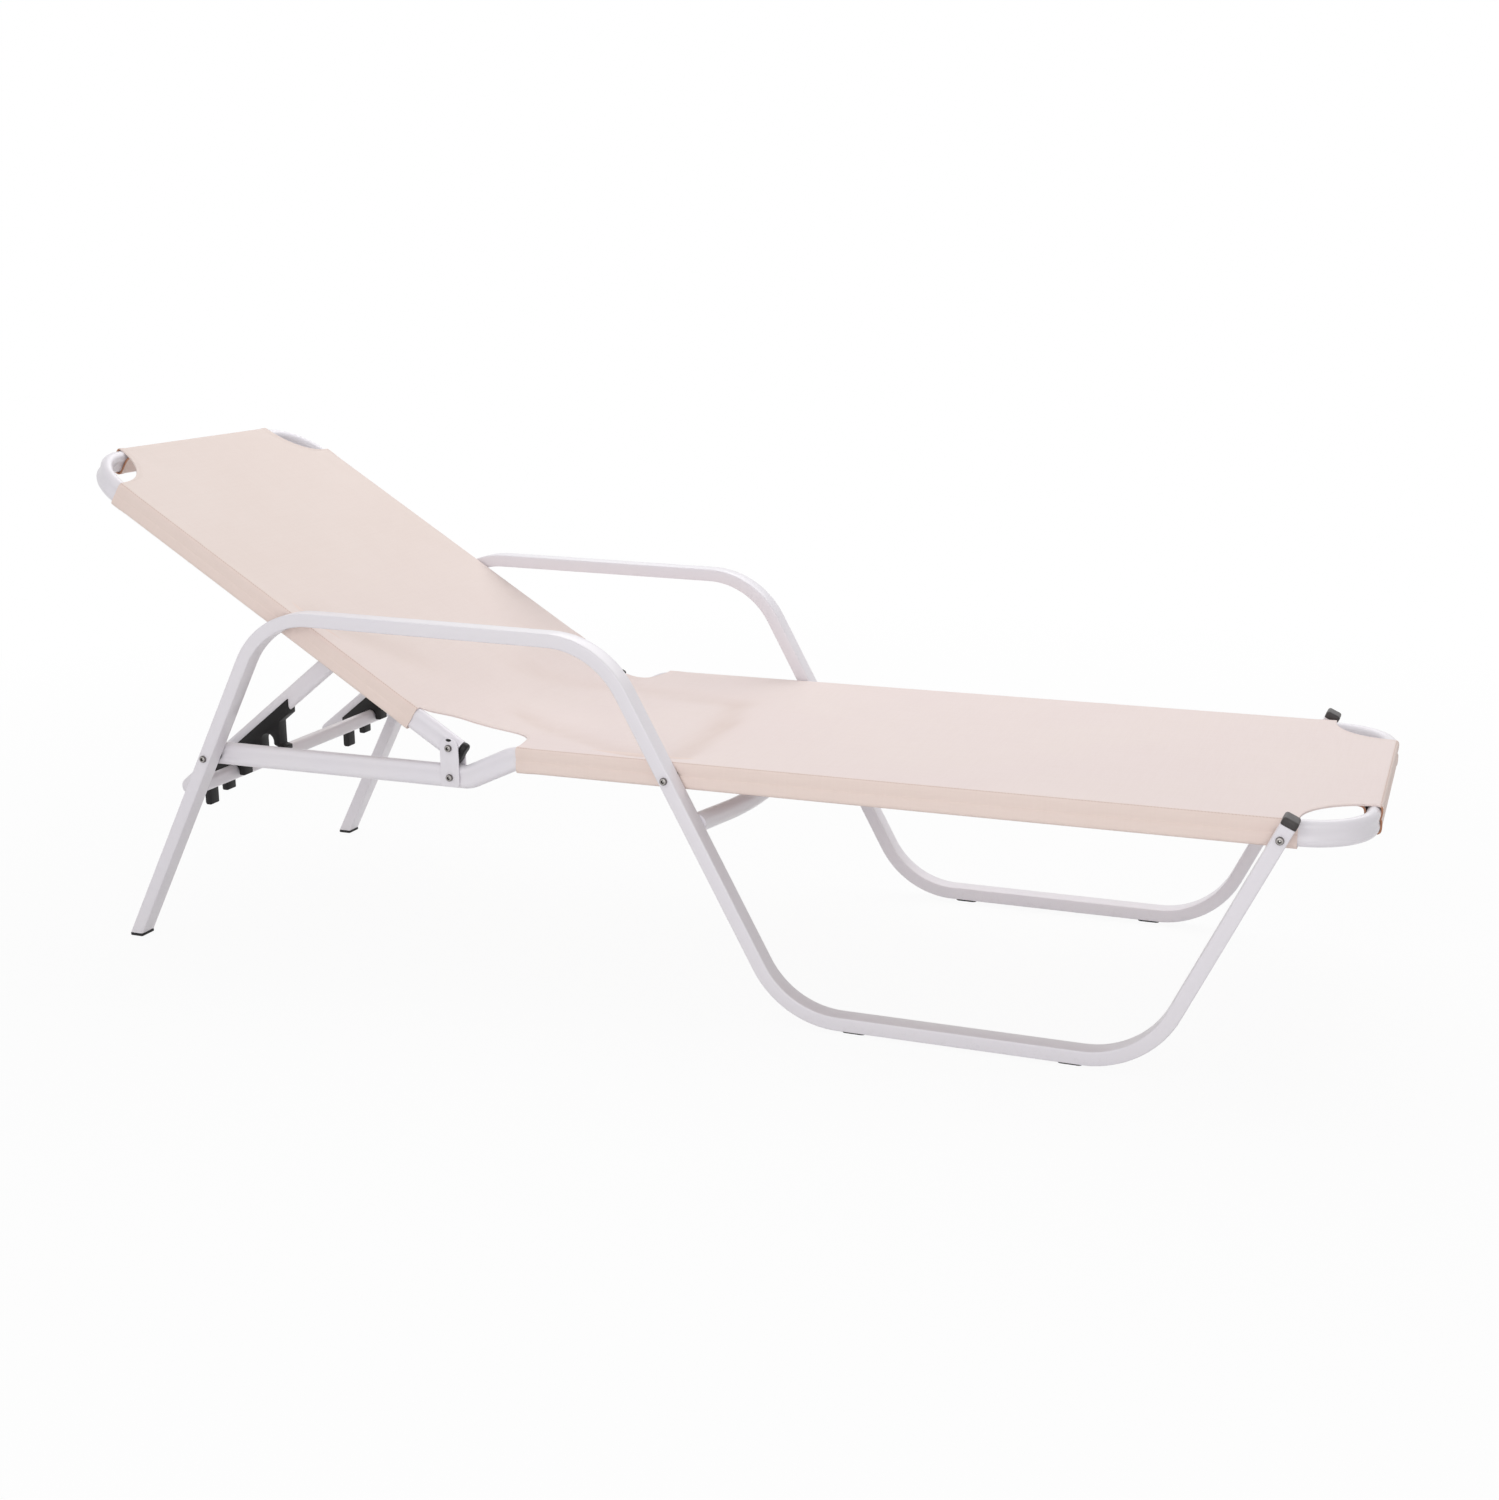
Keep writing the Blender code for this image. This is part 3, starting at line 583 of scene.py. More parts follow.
rail = {
    "y": 0.2725,
    "height": 0.035,
    "width": 0.018,
    "waist": 0.0156,
    "headBend": 0.073,
    "footBend": 0.085,
    "kinkBend": 0.040,
}
seat = {"rearX": 0.135, "rearZ": 0.3015, "kink": (0.588, 0.662), "z": 0.336, "footX": 1.836}
back = {
    "hinge": (0.562, 0.3455),
    "lean": math.radians(32.1),
    "cross": 0.724,
    "tail": 0.019,
    "plug": 0.007,
}
lean = Vector((-math.cos(back["lean"]), 0, math.sin(back["lean"])))  # up the backrest
proud = Vector((math.sin(back["lean"]), 0, math.cos(back["lean"])))  # out of its face
railOutside = rail["y"] + rail["width"] / 2
railInside = rail["y"] - rail["width"] / 2


def onBack(along, y, out=0.0):
    return at(back["hinge"][0], y, back["hinge"][1]) + lean * along + proud * out


def makeSeatRail(s):
    y, (low, high) = rail["y"], s["kink"]
    half = [(s["rearX"], y, s["rearZ"]), (low, y, s["rearZ"]), (high, y, s["z"]), (s["footX"], y, s["z"])]
    radii = [rail["kinkBend"]] * 2 + [rail["footBend"]] * 2 + [rail["kinkBend"]] * 2
    obj = tube("seatRail", mirrored(half), radii, twinLobe(rail), bendSteps=16)
    settle(obj, "seatRail", "base", "white_enamel", "seat_frame")


def makeBackRail(s):
    y, end = rail["y"], s["plug"] - s["tail"]
    corners = [onBack(end, -y), onBack(s["cross"], -y), onBack(s["cross"], y), onBack(end, y)]
    obj = tube("backRail", corners, [rail["headBend"]] * 2, twinLobe(rail), bendSteps=20)
    settle(obj, "backRail", "backrest", "white_enamel", "back_frame")


makeSeatRail(seat)
makeBackRail(back)
print("rails made")

# cross bars under the seat

barReach = legInside - gap
rearBar = {"x": 0.1307, "z": 0.2525, "height": 0.024, "depth": 0.016}
midBar = {
    "z": 0.2705,
    "sag": 0.020,
    "across": 0.028,
    "stub": 0.012,
    "flat": 0.100,
    "crankBend": 0.120,
    "bowBend": 1.200,
    "sides": 28,
}


def makeRearBar(s):
    corners = [at(s["x"], -barReach, s["z"]), at(s["x"], barReach, s["z"])]
    obj = tube("rearBar", corners, [], flatOval(s["height"], s["depth"]))
    settle(obj, "rearBar", "base", "white_enamel", "rear_crossbar")


def makeMidBar(s):
    x = legLineX(s["z"], legs["line"][1], legs["line"][2])
    half = [(x, barReach, s["z"]), (x, barReach - s["stub"], s["z"]), (x, s["flat"], s["z"] - s["sag"])]
    ring = arc(s["across"] / 2, 0, 360, s["sides"])[:-1]
    radii = [s["crankBend"], s["bowBend"], s["bowBend"], s["crankBend"]]
    obj = tube("midBar", mirrored(half), radii, ring, bendSteps=10)
    settle(obj, "midBar", "base", "white_enamel", "mid_crossbar")


makeRearBar(rearBar)
makeMidBar(midBar)
print("cross bars made")

# bolts, hinge brackets and spacers

boltSize = {
    "head": 0.0106,
    "high": 0.0045,
    "crown": 0.0022,  # how far the head's rim is rounded over
    "shank": 0.006,
    "key": 0.0046,
    "keyDeep": 0.0025,
    "nut": 0.0106,
    "nutHigh": 0.005,
    "nutEdge": 0.0007,
    "thread": 0.0015,  # shank past what it clamps, inside the head and the nut
    "plainTone": 0.6,  # place on the colour rings of all but the head
}
spacerSize = {"radius": 0.009, "edge": 0.0006}
bracketPlate = {
    "width": 0.030,
    "thick": 0.0025,
    "low": 0.0135,
    "corner": 0.003,
    "edge": 0.0006,
    "innerCrown": 0.0098,
}
stud = {"up": 0.0118, "half": (0.0045, 0.0011, 0.0021)}
hexagon = math.cos(math.radians(30))  # across flats to across corners
plateOut = railOutside + gap + bracketPlate["thick"]
plateIn = railInside - gap - bracketPlate["thick"]
# x, height, and how far the cloth's sleeve keeps the nut and the spacer off the rail
boltSpots = {
    "rear": (rearLegX(seat["rearZ"]), seat["rearZ"], 0.0),
    "mid": (legLineX(seat["z"], *legs["line"][1:3]), seat["z"], 0.0018),
    "foot": (legLineX(seat["z"], *legs["line"][3:5]), seat["z"], 0.0018),
}


def shapeBolt(s, clamp):
    # head outwards along +Y from the origin, nut at the far side of what it clamps
    head = rod(32, s["head"] / 2, s["high"], (0, s["high"] / 2, 0))
    pick(head, "FACE", lambda face: face.calc_center_median().y > s["high"] - hair)
    bevelPicked(s["crown"], 5)
    cutAway(head, rod(6, s["key"] / 2 / hexagon, 2 * s["keyDeep"], (0, s["high"], 0)))

    def keyFloor(face):
        middle = face.calc_center_median()
        inside = math.hypot(middle.x, middle.z) < s["key"] / 4
        return inside and face.normal.y > 0.9 and middle.y < s["high"] - s["keyDeep"] / 2

    # a point in the middle of the key's floor, where the painted highlight is brightest
    pick(head, "FACE", keyFloor)
    bpy.ops.mesh.poke()
    shank = rod(24, s["shank"] / 2, clamp + 2 * s["thread"], (0, -clamp / 2, 0))
    nut = rod(6, s["nut"] / 2 / hexagon, s["nutHigh"], (0, -clamp - s["nutHigh"] / 2, 0))
    softenEdges(nut, s["nutEdge"], segments=2)
    choose(head)
    shank.select_set(True)
    nut.select_set(True)
    bpy.ops.object.join()
    # rim: distance from the head's middle, which places the painted highlight and shade; shank and nut
    # take one plain tone
    mark = head.data.attributes.new("rim", "FLOAT", "POINT")
    for vertex, value in zip(head.data.vertices, mark.data):
        reach = math.hypot(vertex.co.x, vertex.co.z) / (s["head"] / 2)
        value.value = min(1.0, reach) if vertex.co.y > 0 else s["plainTone"]
    return head


def makeBolt(name, x, z, side, outer, inner):
    bolt = shapeBolt(boltSize, outer - inner + 2 * gap)
    turn = Matrix.Rotation(math.pi if side < 0 else 0, 4, "Z")
    bolt.data.transform(Matrix.Translation(at(x, side * (outer + gap), z)) @ turn)
    settle(bolt, name + "_visual", "base", "bolt_steel", name)


def makeSpacer(s, side, spot, x, z, cover):
    inner, outer = railOutside + cover + gap, legInside - gap
    obj = rod(40, s["radius"], outer - inner, at(x, side * (outer + inner) / 2, z))
    softenEdges(obj, s["edge"])
    name = f"spacer_{handOf[side]}_{spot}"
    settle(obj, name + "_visual", "base", "black_plastic", name)


def makeBracket(s, side, face):
    half, low, (hx, hz) = s["width"] / 2, seat["rearZ"] - s["low"], back["hinge"]
    y = side * (rail["y"] + face * (rail["width"] / 2 + gap + s["thick"] / 2)) - s["thick"] / 2
    edge = [(hx - half + s["corner"], low), (hx + half - s["corner"], low), (hx + half, low + s["corner"])]
    crown = half if face > 0 else s["innerCrown"]
    edge += [(hx + half * cx, hz + crown * cz) for cx, cz in arc(1, 0, 180, 20)]
    edge.append((hx - half, low + s["corner"]))
    obj = slab("bracket", [at(x, y, z) for x, z in edge], (0, s["thick"], 0))
    softenEdges(obj, s["edge"])
    name = f"bracket_{handOf[side]}_{'outer' if face > 0 else 'inner'}"
    settle(obj, name + "_visual", "base", "white_enamel", name)


def makeStud(s, side):
    # a small black piece on the outer face of each outer plate, above the hinge bolt
    clearChoice()
    middle = at(back["hinge"][0], side * plateOut, back["hinge"][1] + s["up"])
    bpy.ops.mesh.primitive_uv_sphere_add(
        segments=28, ring_count=14, radius=1, scale=s["half"], location=middle
    )
    settle(applyPlace(), f"bracketStud_{handOf[side]}", "base", "black_plastic")


for side in (-1, 1):
    hand = handOf[side]
    for spot, (x, z, cover) in boltSpots.items():
        makeBolt(f"leg_bolt_{hand}_{spot}", x, z, side, legOutside, railInside - cover)
        makeSpacer(spacerSize, side, spot, x, z, cover)
    makeBolt(f"hinge_bolt_{hand}", *back["hinge"], side, plateOut, plateIn)
    makeBolt(f"rail_bolt_{hand}", back["hinge"][0], seat["rearZ"], side, plateOut, plateIn)
    for face in (1, -1):
        makeBracket(bracketPlate, side, face)
    makeStud(stud, side)
print("bolts and brackets made")

# caps, plugs and pads

capSize = {
    "wide": 0.0312,
    "deep": 0.0212,
    "long": 0.0105,
    "corner": 0.0040,
    "dome": 0.0036,
    "lip": 0.0005,
}
footSize = {"high": 0.0047, "grow": 0.0006, "corner": 0.0028, "edge": 0.0012}
padSize = {
    "long": 0.034,
    "wide": 0.014,
    "thick": 0.0042,
    "corner": 0.006,
    "edge": 0.0011,
    "x": {"rear": 1.1863, "front": 1.4851},
}
plugSize = {"proud": 0.0032, "grow": 0.0002, "edge": 0.0036}


def makeEndCap(s, side):
    cap = block((s["deep"], s["wide"], s["long"]))
    pick(cap, "EDGE", upright)
    bevelPicked(s["corner"], 6)
    for level, width in ((s["long"] / 2, s["dome"]), (-s["long"] / 2, s["lip"])):
        pick(cap, "EDGE", lambda edge: all(abs(vert.co.z - level) < hair for vert in edge.verts))
        bevelPicked(width, 5)
    (footX, footZ), (topX, topZ) = legs["line"][3:5]
    along = Vector((topX - footX, 0, topZ - footZ)).normalized()
    turn = Vector((0, 0, 1)).rotation_difference(along).to_matrix().to_4x4()
    middle = at(topX, side * legs["y"], topZ) + along * (s["long"] / 2 + gap)
    cap.data.transform(Matrix.Translation(middle) @ turn)
    hand = handOf[side]
    settle(cap, f"endCap_{hand}", "base", "dark_grey_plastic", f"end_cap_{hand}")


def makeFootCap(s, side):
    x, slant = rearLegX(s["high"]), math.cos(math.atan2(*legs["line"][0]))
    section = roundedBox(legs["deep"] + s["grow"], legs["wide"] + s["grow"], s["corner"], 6)
    outline = [at(x + px / slant, side * legs["y"] + py, 0) for px, py in section]
    obj = slab("footCap", outline, (0, 0, s["high"]))
    softenEdges(obj, s["edge"], angle=60)
    hand = handOf[side]
    settle(obj, f"footCap_{hand}", "base", "black_plastic", f"foot_cap_{hand}")


def makePad(s, side, where):
    middle = at(s["x"][where], side * legs["y"], s["thick"] / 2)
    pad = block((s["long"], s["wide"], s["thick"]), middle)
    pick(pad, "EDGE", upright)
    bevelPicked(s["corner"], 6)
    softenEdges(pad, s["edge"], angle=60)
    hand = handOf[side]
    settle(pad, f"skidPad_{hand}_{where}", "base", "black_plastic", f"skid_pad_{hand}_{where}")


def makePlug(s, side):
    y = side * rail["y"]
    ends = [onBack(back["plug"] - back["tail"] - gap, y), onBack(-back["tail"] - s["proud"], y)]
    obj = tube("plug", ends, [], twinLobe(rail, s["grow"]))
    softenEdges(obj, s["edge"], segments=5, angle=60)
    hand = handOf[side]
    settle(obj, f"railPlug_{hand}", "backrest", "black_plastic", f"back_plug_{hand}")


for side in (-1, 1):
    makeEndCap(capSize, side)
    makeFootCap(footSize, side)
    makePlug(plugSize, side)
    for where in ("rear", "front"):
        makePad(padSize, side, where)
print("caps and pads made")

# struts behind the backrest, and the combs that hook on the rear bar

strut = {
    "y": 0.200,
    "height": 0.028,
    "width": 0.014,
    "edge": 0.0062,
    "slope": math.radians(38.6),
    "reach": 0.411,
    "axleAlong": 0.244,
    "axleBelow": 0.010,
    "axle": 0.016,
    "axleEdge": 0.001,
    "axleShort": 0.0024,  # between the axle's ends and the rails
}
comb = {
    "wide": 0.021,
    "pitch": 0.0435,
    "notches": 4,
    "inUse": 2,
    "notch": 0.023,
    "play": 0.0015,
    "tip": 0.013,
    "post": 0.0205,
    "nose": 0.018,
    "toe": 0.009,
    "toeHigh": 0.007,
    "toeRise": 0.009,
    "heel": (0.002, 0.003),  # the corner cut off the lowest tooth
    "chamfer": 0.0015,
    "overlap": 0.006,  # how far the housing reaches under the strut
    "edge": 0.0009,
    "room": 0.0006,  # by how much the strut's hole is larger than the strut
    "past": 0.020,  # how far that hole is cut beyond the axle
}
axleAt = onBack(strut["axleAlong"], 0, -strut["axleBelow"])
downStrut = Vector((-math.cos(strut["slope"]), 0, -math.sin(strut["slope"])))
aboveStrut = Vector((-math.sin(strut["slope"]), 0, math.cos(strut["slope"])))


def strutPoint(side, along, above=0.0, aside=0.0):
    middle = axleAt + Vector((0, side * strut["y"] + aside, 0))
    return middle + downStrut * along + aboveStrut * above


def makeStrutArm(s, side):
    # a flat bar with round ends, its long edges rounded over
    radius = s["height"] / 2
    outline = arc(-radius, -90, 180, 16) + arc(-radius, 90, 180, 16, s["reach"] - radius)
    points = [strutPoint(side, along, above, -s["width"] / 2) for along, above in outline]
    return softenEdges(slab("arm", points, (0, s["width"], 0)), s["edge"], segments=6, angle=60)


def makeStruts(s):
    arms = [makeStrutArm(s, side) for side in (-1, 1)]
    axle = rod(36, s["axle"] / 2, 2 * (railInside - s["axleShort"]), axleAt)
    softenEdges(axle, s["axleEdge"], segments=2)
    for arm in arms:
        cutAway(axle, arm, "UNION")
    settle(axle, "strutFrame", "struts", "white_enamel", "strut_frame")


def combEdge(s):
    # offsets from the bar in the notch in use: slots open downwards, teeth follow the slope
    slope = math.tan(strut["slope"])
    stepAcross, stepUp = s["pitch"] * math.cos(strut["slope"]), s["pitch"] * math.sin(strut["slope"])
    bar = at(rearBar["x"], 0, rearBar["z"]) - axleAt
    spine = -bar.dot(aboveStrut) / math.cos(strut["slope"])
    radius, cut = s["notch"] / 2, s["chamfer"]
    tooth = stepAcross - s["notch"]
    last = s["notches"] - 1 - s["inUse"]

    def tip(across):
        return -s["tip"] + slope * across

    left = -last * stepAcross - radius - tooth
    heelAcross, heelUp = s["heel"]
    points = [(left, spine + slope * left), (left, tip(left) + heelUp), (left + heelAcross, tip(left))]
    for notch in range(-last, s["inUse"] + 1):
        center = notch * stepAcross
        crown = notch * stepUp + rearBar["height"] / 2 + s["play"] - radius
        near, far = center - radius, center + radius
        points += [(near - cut, tip(near - tooth)), (near, tip(near - tooth) + cut)]
        points += arc(radius, 180, -180, 12, center, crown)
        points += [(far, tip(far) + cut), (far + cut, tip(far))]
    right = s["inUse"] * stepAcross + radius + tooth
    foot, toe, nose = slope * (right - tooth) - s["post"], right + s["toe"], right + s["nose"]
    points += [(toe, foot), (toe, foot + s["toeHigh"]), (right, foot + s["toeRise"])]
    under = spine - strut["height"] / 2 / math.cos(strut["slope"]) - s["overlap"]
    points += [(right, under + slope * right), (nose, under + slope * nose)]
    return points + [(nose, spine + slope * nose)]


def makeComb(s, side):
    y = side * strut["y"] - s["wide"] / 2
    edge = [at(rearBar["x"] + across, y, rearBar["z"] + up) for across, up in combEdge(s)]
    obj = softenEdges(slab("comb", edge, (0, s["wide"], 0)), s["edge"], segments=2, angle=25)
    hole = flatOval(strut["height"] + s["room"], strut["width"] + s["room"])
    ends = [strutPoint(side, -s["past"]), strutPoint(side, strut["reach"])]
    cutAway(obj, tube("room", ends, [], hole))
    hand = handOf[side]
    settle(obj, f"combRack_{hand}", "struts", "black_plastic", f"comb_{hand}")


makeStruts(strut)
for side in (-1, 1):
    makeComb(comb, side)
print("struts and combs made")

# the sling, one cloth from head to feet

sling = {
    "thick": 0.0011,
    "hemThick": 0.0024,
    "hemWide": 0.0121,
    "top": 0.01855,  # middle of the cloth above the rail's middle line
    "sleeveStart": 0.0026,  # first row of a sleeve, outwards from the rail's middle
    "sleeveCorner": 0.0052,
    "sleeveLoose": 0.0011,
    "sleeveDip": 0.0018,  # how far a sleeve falls in between the rail's two lobes
    "backDip": 0.35,  # share of that dip on the backrest
    # height on the rail as a share, and share of the dip there
    "sleeveFold": (
        (0.70, 0.02), (0.40, 0.30), (0.16, 0.80), (0.05, 1.0),
        (-0.02, 0.85), (-0.10, 0.25), (-0.22, 0.04), (-0.60, 0.0),
    ),
    # the sleeve's end, turned back under the panel: inwards past the rail's side, and up
    "sleeveTail": (
        (0.0, -0.003), (0.0002, 0.007), (0.0010, 0.0125),
        (0.0035, 0.0158), (0.0085, 0.0169), (0.0140, 0.0170),
    ),
    "window": {"head": 0.080, "foot": 0.092},
    "windowSteps": 14,
    "backSleeve": 0.072,
    "seatSleeve": 0.670,
    "bridgeTop": 0.0204,  # where the bridge at the hinge is drawn to, in front of the hinge
    "bridgeSteps": 24,
    "rows": {"back": 34, "seat": 60},
    # distance of the lengthwise rows from the cloth's edge
    "insets": (
        0.0, 0.004, 0.008, 0.012, 0.018, 0.027, 0.039,
        0.054, 0.073, 0.097, 0.126, 0.160, 0.198, 0.236,
    ),
    "sag": {"seat": 0.005, "back": 0.004},
    "sagEase": 0.16,
    # x from the rear feet, half width: the waist at the hinge
    "waist": (
        (0.512, 0.2725), (0.520, 0.2665), (0.529, 0.2540), (0.540, 0.2380), (0.556, 0.2250),
        (0.580, 0.2140), (0.600, 0.2070), (0.620, 0.2030), (0.636, 0.2040), (0.650, 0.2120),
        (0.660, 0.2240), (0.666, 0.2390), (0.669, 0.2560), (0.670, 0.2725),
    ),
    "creaseDeep": 0.0070,
    # start and end of a soft fold, (x, y) from the rear feet, then width and height
    "folds": (
        ((0.905, -0.225), (0.885, -0.020), 0.019, -0.0074),
        ((0.885, -0.020), (0.862, 0.080), 0.019, -0.0064),
        ((0.855, 0.115), (0.700, 0.135), 0.020, -0.0056),
        ((0.600, -0.110), (0.850, -0.262), 0.018, -0.0056),
        ((0.430, -0.160), (0.330, -0.240), 0.028, -0.0036),
        ((0.520, 0.060), (0.640, 0.150), 0.026, -0.0034),
        ((0.566, 0.212), (0.612, 0.204), 0.020, 0.0055),
    ),
    "foldTail": 1.6,  # how far a fold runs out past its ends, in widths
    "foldFade": 0.08,  # share of the half width over which folds fade out at the rails
    "seamAt": 3,  # row of a sleeve that is its seam
    "smoothUnder": math.radians(50),
}
hingePoint = at(back["hinge"][0], 0, back["hinge"][1])
upward = Vector((0, 0, 1))


class ClothMesh:
    # points, faces and the marks that the cloth's finish reads
    def __init__(self):
        self.points, self.faces, self.lay, self.index = [], [], [], {}
        self.marks = {label: [] for label in ("hem", "sleeve", "tape", "seam", "crease")}

    def put(self, key, point, lay, **marks):
        self.index[key] = len(self.points)
        self.points.append(point)
        self.lay.append(lay)
        for label, values in self.marks.items():
            values.append(float(marks.get(label, 0.0)))

    def skin(self, corners, flip=False):
        quad = [self.index[corner] for corner in corners]
        self.faces.append(quad[::-1] if flip else quad)

    def toMesh(self, name):
        mesh = bpy.data.meshes.new(name)
        mesh.from_pydata(self.points, [], self.faces)
        uvMap = mesh.uv_layers.new(name="weave")
        for loop in mesh.loops:
            uvMap.data[loop.index].uv = self.lay[loop.vertex_index]
        for label, values in self.marks.items():
            mesh.attributes.new(label, "FLOAT", "POINT").data.foreach_set("value", values)
        return mesh


def bridgeLine(share):
    # smooth line of the cloth where it leaves the backrest's face for the seat's
    first = onBack(sling["backSleeve"], 0, sling["top"])
    second = at(back["hinge"][0] + sling["bridgeTop"], 0, seat["z"] + sling["top"])
    third = at(sling["seatSleeve"], 0, seat["z"] + sling["top"])
    spot = first * (1 - share) ** 2 + second * 2 * share * (1 - share) + third * share**2
    run = ((second - first) * (1 - share) + (third - second) * share).normalized()
    return spot, Vector((-run.z, 0, run.x))


def waistAt(x):
    for (x0, half0), (x1, half1) in zip(sling["waist"], sling["waist"][1:]):
        if x < x1:
            break
    return half0 + (half1 - half0) * min(1, (x - x0) / (x1 - x0))


def windowRows(radius):
    # past the end bar's middle, and half width, round a corner window from the rail to the bar
    end, steps = rail["width"] / 2, sling["windowSteps"]
    sweep = math.degrees(math.acos(end / radius))
    return [(end - cx, rail["y"] - cy) for cx, cy in arc(radius, 0, sweep, steps)]


def sleeveRuns(length, count):
    # distances along a sleeve, closer together at its two hems
    close = sling["insets"][1:4]
    even = [close[-1] + (length - 2 * close[-1]) * k / count for k in range(1, count)]
    return [0.0, *close, *even, *(length - run for run in reversed(close)), length]


def clothStations(s):
    # rows of the cloth from the head to the feet: middle point, outward normal, half width, part
    seatLevel = seat["z"] + s["top"]
    windows = {end: windowRows(radius) for end, radius in s["window"].items()}
    rows = []
    for past, half in reversed(windows["head"]):
        rows.append((onBack(back["cross"] + past, 0, s["top"]), proud, half, "window"))
    begin = back["cross"] + windows["head"][0][0]
    for run in sleeveRuns(begin - s["backSleeve"], s["rows"]["back"])[1:]:
        rows.append((onBack(begin - run, 0, s["top"]), proud, rail["y"], "back"))
    for k in range(1, s["bridgeSteps"]):
        spot, normal = bridgeLine(k / s["bridgeSteps"])
        rows.append((spot, normal, waistAt(spot.x + rearFeet), "waist"))
    begin, end = s["seatSleeve"], seat["footX"] + windows["foot"][0][0]
    for run in sleeveRuns(end - begin, s["rows"]["seat"])[:-1]:
        rows.append((at(begin + run, 0, seatLevel), upward, rail["y"], "seat"))
    for past, half in windows["foot"]:
        rows.append((at(seat["footX"] + past, 0, seatLevel), upward, half, "window"))
    return rows


def sagAt(spot, y):
    # the cloth hangs a little between the rails and less near the end bars
    head, foot = onBack(back["cross"], 0), at(seat["footX"], 0, seat["z"])
    near = min(abs(spot.x - head.x), abs(spot.x - foot.x))
    depth = sling["sag"]["back" if spot.x < hingePoint.x else "seat"]
    return depth * (1 - math.exp(-near / sling["sagEase"])) * (1 - (y / rail["y"]) ** 2)


def foldAt(spot, y):
    x, total = spot.x + rearFeet, 0.0
    for (ax, ay), (bx, by), width, height in sling["folds"]:
        dx, dy = bx - ax, by - ay
        span = math.hypot(dx, dy)
        along = ((x - ax) * dx + (y - ay) * dy) / span
        off = abs((x - ax) * dy - (y - ay) * dx) / span
        past = max(0.0, -along, along - span)
        total += height * math.exp(-((off / width) ** 2) - (past / (width * sling["foldTail"])) ** 2)
    edge = max(0.0, 1 - abs(y) / rail["y"])
    return total * min(1.0, edge / sling["foldFade"])


def sleeveSection(s, dipShare=1.0):
    # the cloth's middle line from the top of the rail outwards, round it and back under the panel
    top, corner = s["top"], s["sleeveCorner"]
    side, rise = rail["width"] / 2 + s["sleeveLoose"], top - corner
    points = [(s["sleeveStart"], top)] + arc(corner, 80, -80, 4, side - corner, rise)
    points += [(side - s["sleeveDip"] * dip * dipShare, rise * share) for share, dip in s["sleeveFold"]]
    points += arc(corner, 0, -90, 3, side - corner, -rise)
    points += arc(corner, -90, -90, 3, corner - side, -rise)
    return points + [(-side - inwards, up) for inwards, up in s["sleeveTail"]]


def addSleeve(sheet, name, stations, section, outward, layStep, flip):
    # station: panel point, middle of the rail, way up, lay of the cloth there, hem and brown-edge marks
    seamAt = sling["seamAt"]
    for n, (panel, middle, up, lay, hem, brownEdged) in enumerate(stations):
        sheet.index[name, n, 0] = sheet.index[panel]
        path, last = 0.0, (0.0, sling["top"])
        for k, spot in enumerate(section, 1):
            path += math.dist(last, spot)
            last = spot
            point = middle + outward * spot[0] + up * spot[1]
            spread = (lay[0] + layStep[0] * path, lay[1] + layStep[1] * path)
            # sleeve marks the rows round the rail that get the sleeves' painted shade; seam marks the
            # crease row of painted shade and stitches
            marks = {"hem": hem, "sleeve": k >= seamAt, "tape": brownEdged and k > seamAt, "seam": k == seamAt}
            sheet.put((name, n, k), point, spread, **marks)
    for n in range(len(stations) - 1):
        for k in range(len(section)):
            sheet.skin([(name, n, k), (name, n, k + 1), (name, n + 1, k + 1), (name, n + 1, k)], flip)


def layPanel(sheet, rows, columns, lengths):
    for i, (spot, normal, half, part) in enumerate(rows):
        for j, (share, inset) in enumerate(columns):
            y = share * half
            fold = foldAt(spot, y)
            point = spot + Vector((0, y, 0)) - normal * (sagAt(spot, y) - fold)
            hem = part in ("window", "waist") and inset <= sling["hemWide"]
            # how far the fold sinks here, which sets the painted shade in its hollow
            crease = min(1.0, max(0.0, -fold / sling["creaseDeep"]))
            sheet.put((i, j), point, (y, lengths[i]), hem=hem, crease=crease)
    for i in range(len(rows) - 1):
        for j in range(len(columns) - 1):
            sheet.skin([(i, j), (i, j + 1), (i + 1, j + 1), (i + 1, j)])


def layRailSleeves(sheet, rows, columns, lengths):
    # one row past the last whole one at each window
    runs = {part: [i for i, row in enumerate(rows) if row[3] == part] for part in ("back", "seat")}
    runs["back"].insert(0, runs["back"][0] - 1)
    runs["seat"].append(runs["seat"][-1] + 1)
    for side, edge in ((-1, 0), (1, len(columns) - 1)):
        for part, dipShare in (("back", sling["backDip"]), ("seat", 1.0)):
            start, end = lengths[runs[part][0]], lengths[runs[part][-1]]
            stations = []
            for i in runs[part]:
                spot, normal = rows[i][:2]
                middle = spot - normal * sling["top"] + Vector((0, side * rail["y"], 0))
                hem = min(lengths[i] - start, end - lengths[i]) <= sling["hemWide"]
                stations.append(((i, edge), middle, normal, (side * rail["y"], lengths[i]), hem, False))
            section = sleeveSection(sling, dipShare)
            addSleeve(sheet, (part, side), stations, section, Vector((0, side, 0)), (side, 0), side < 0)


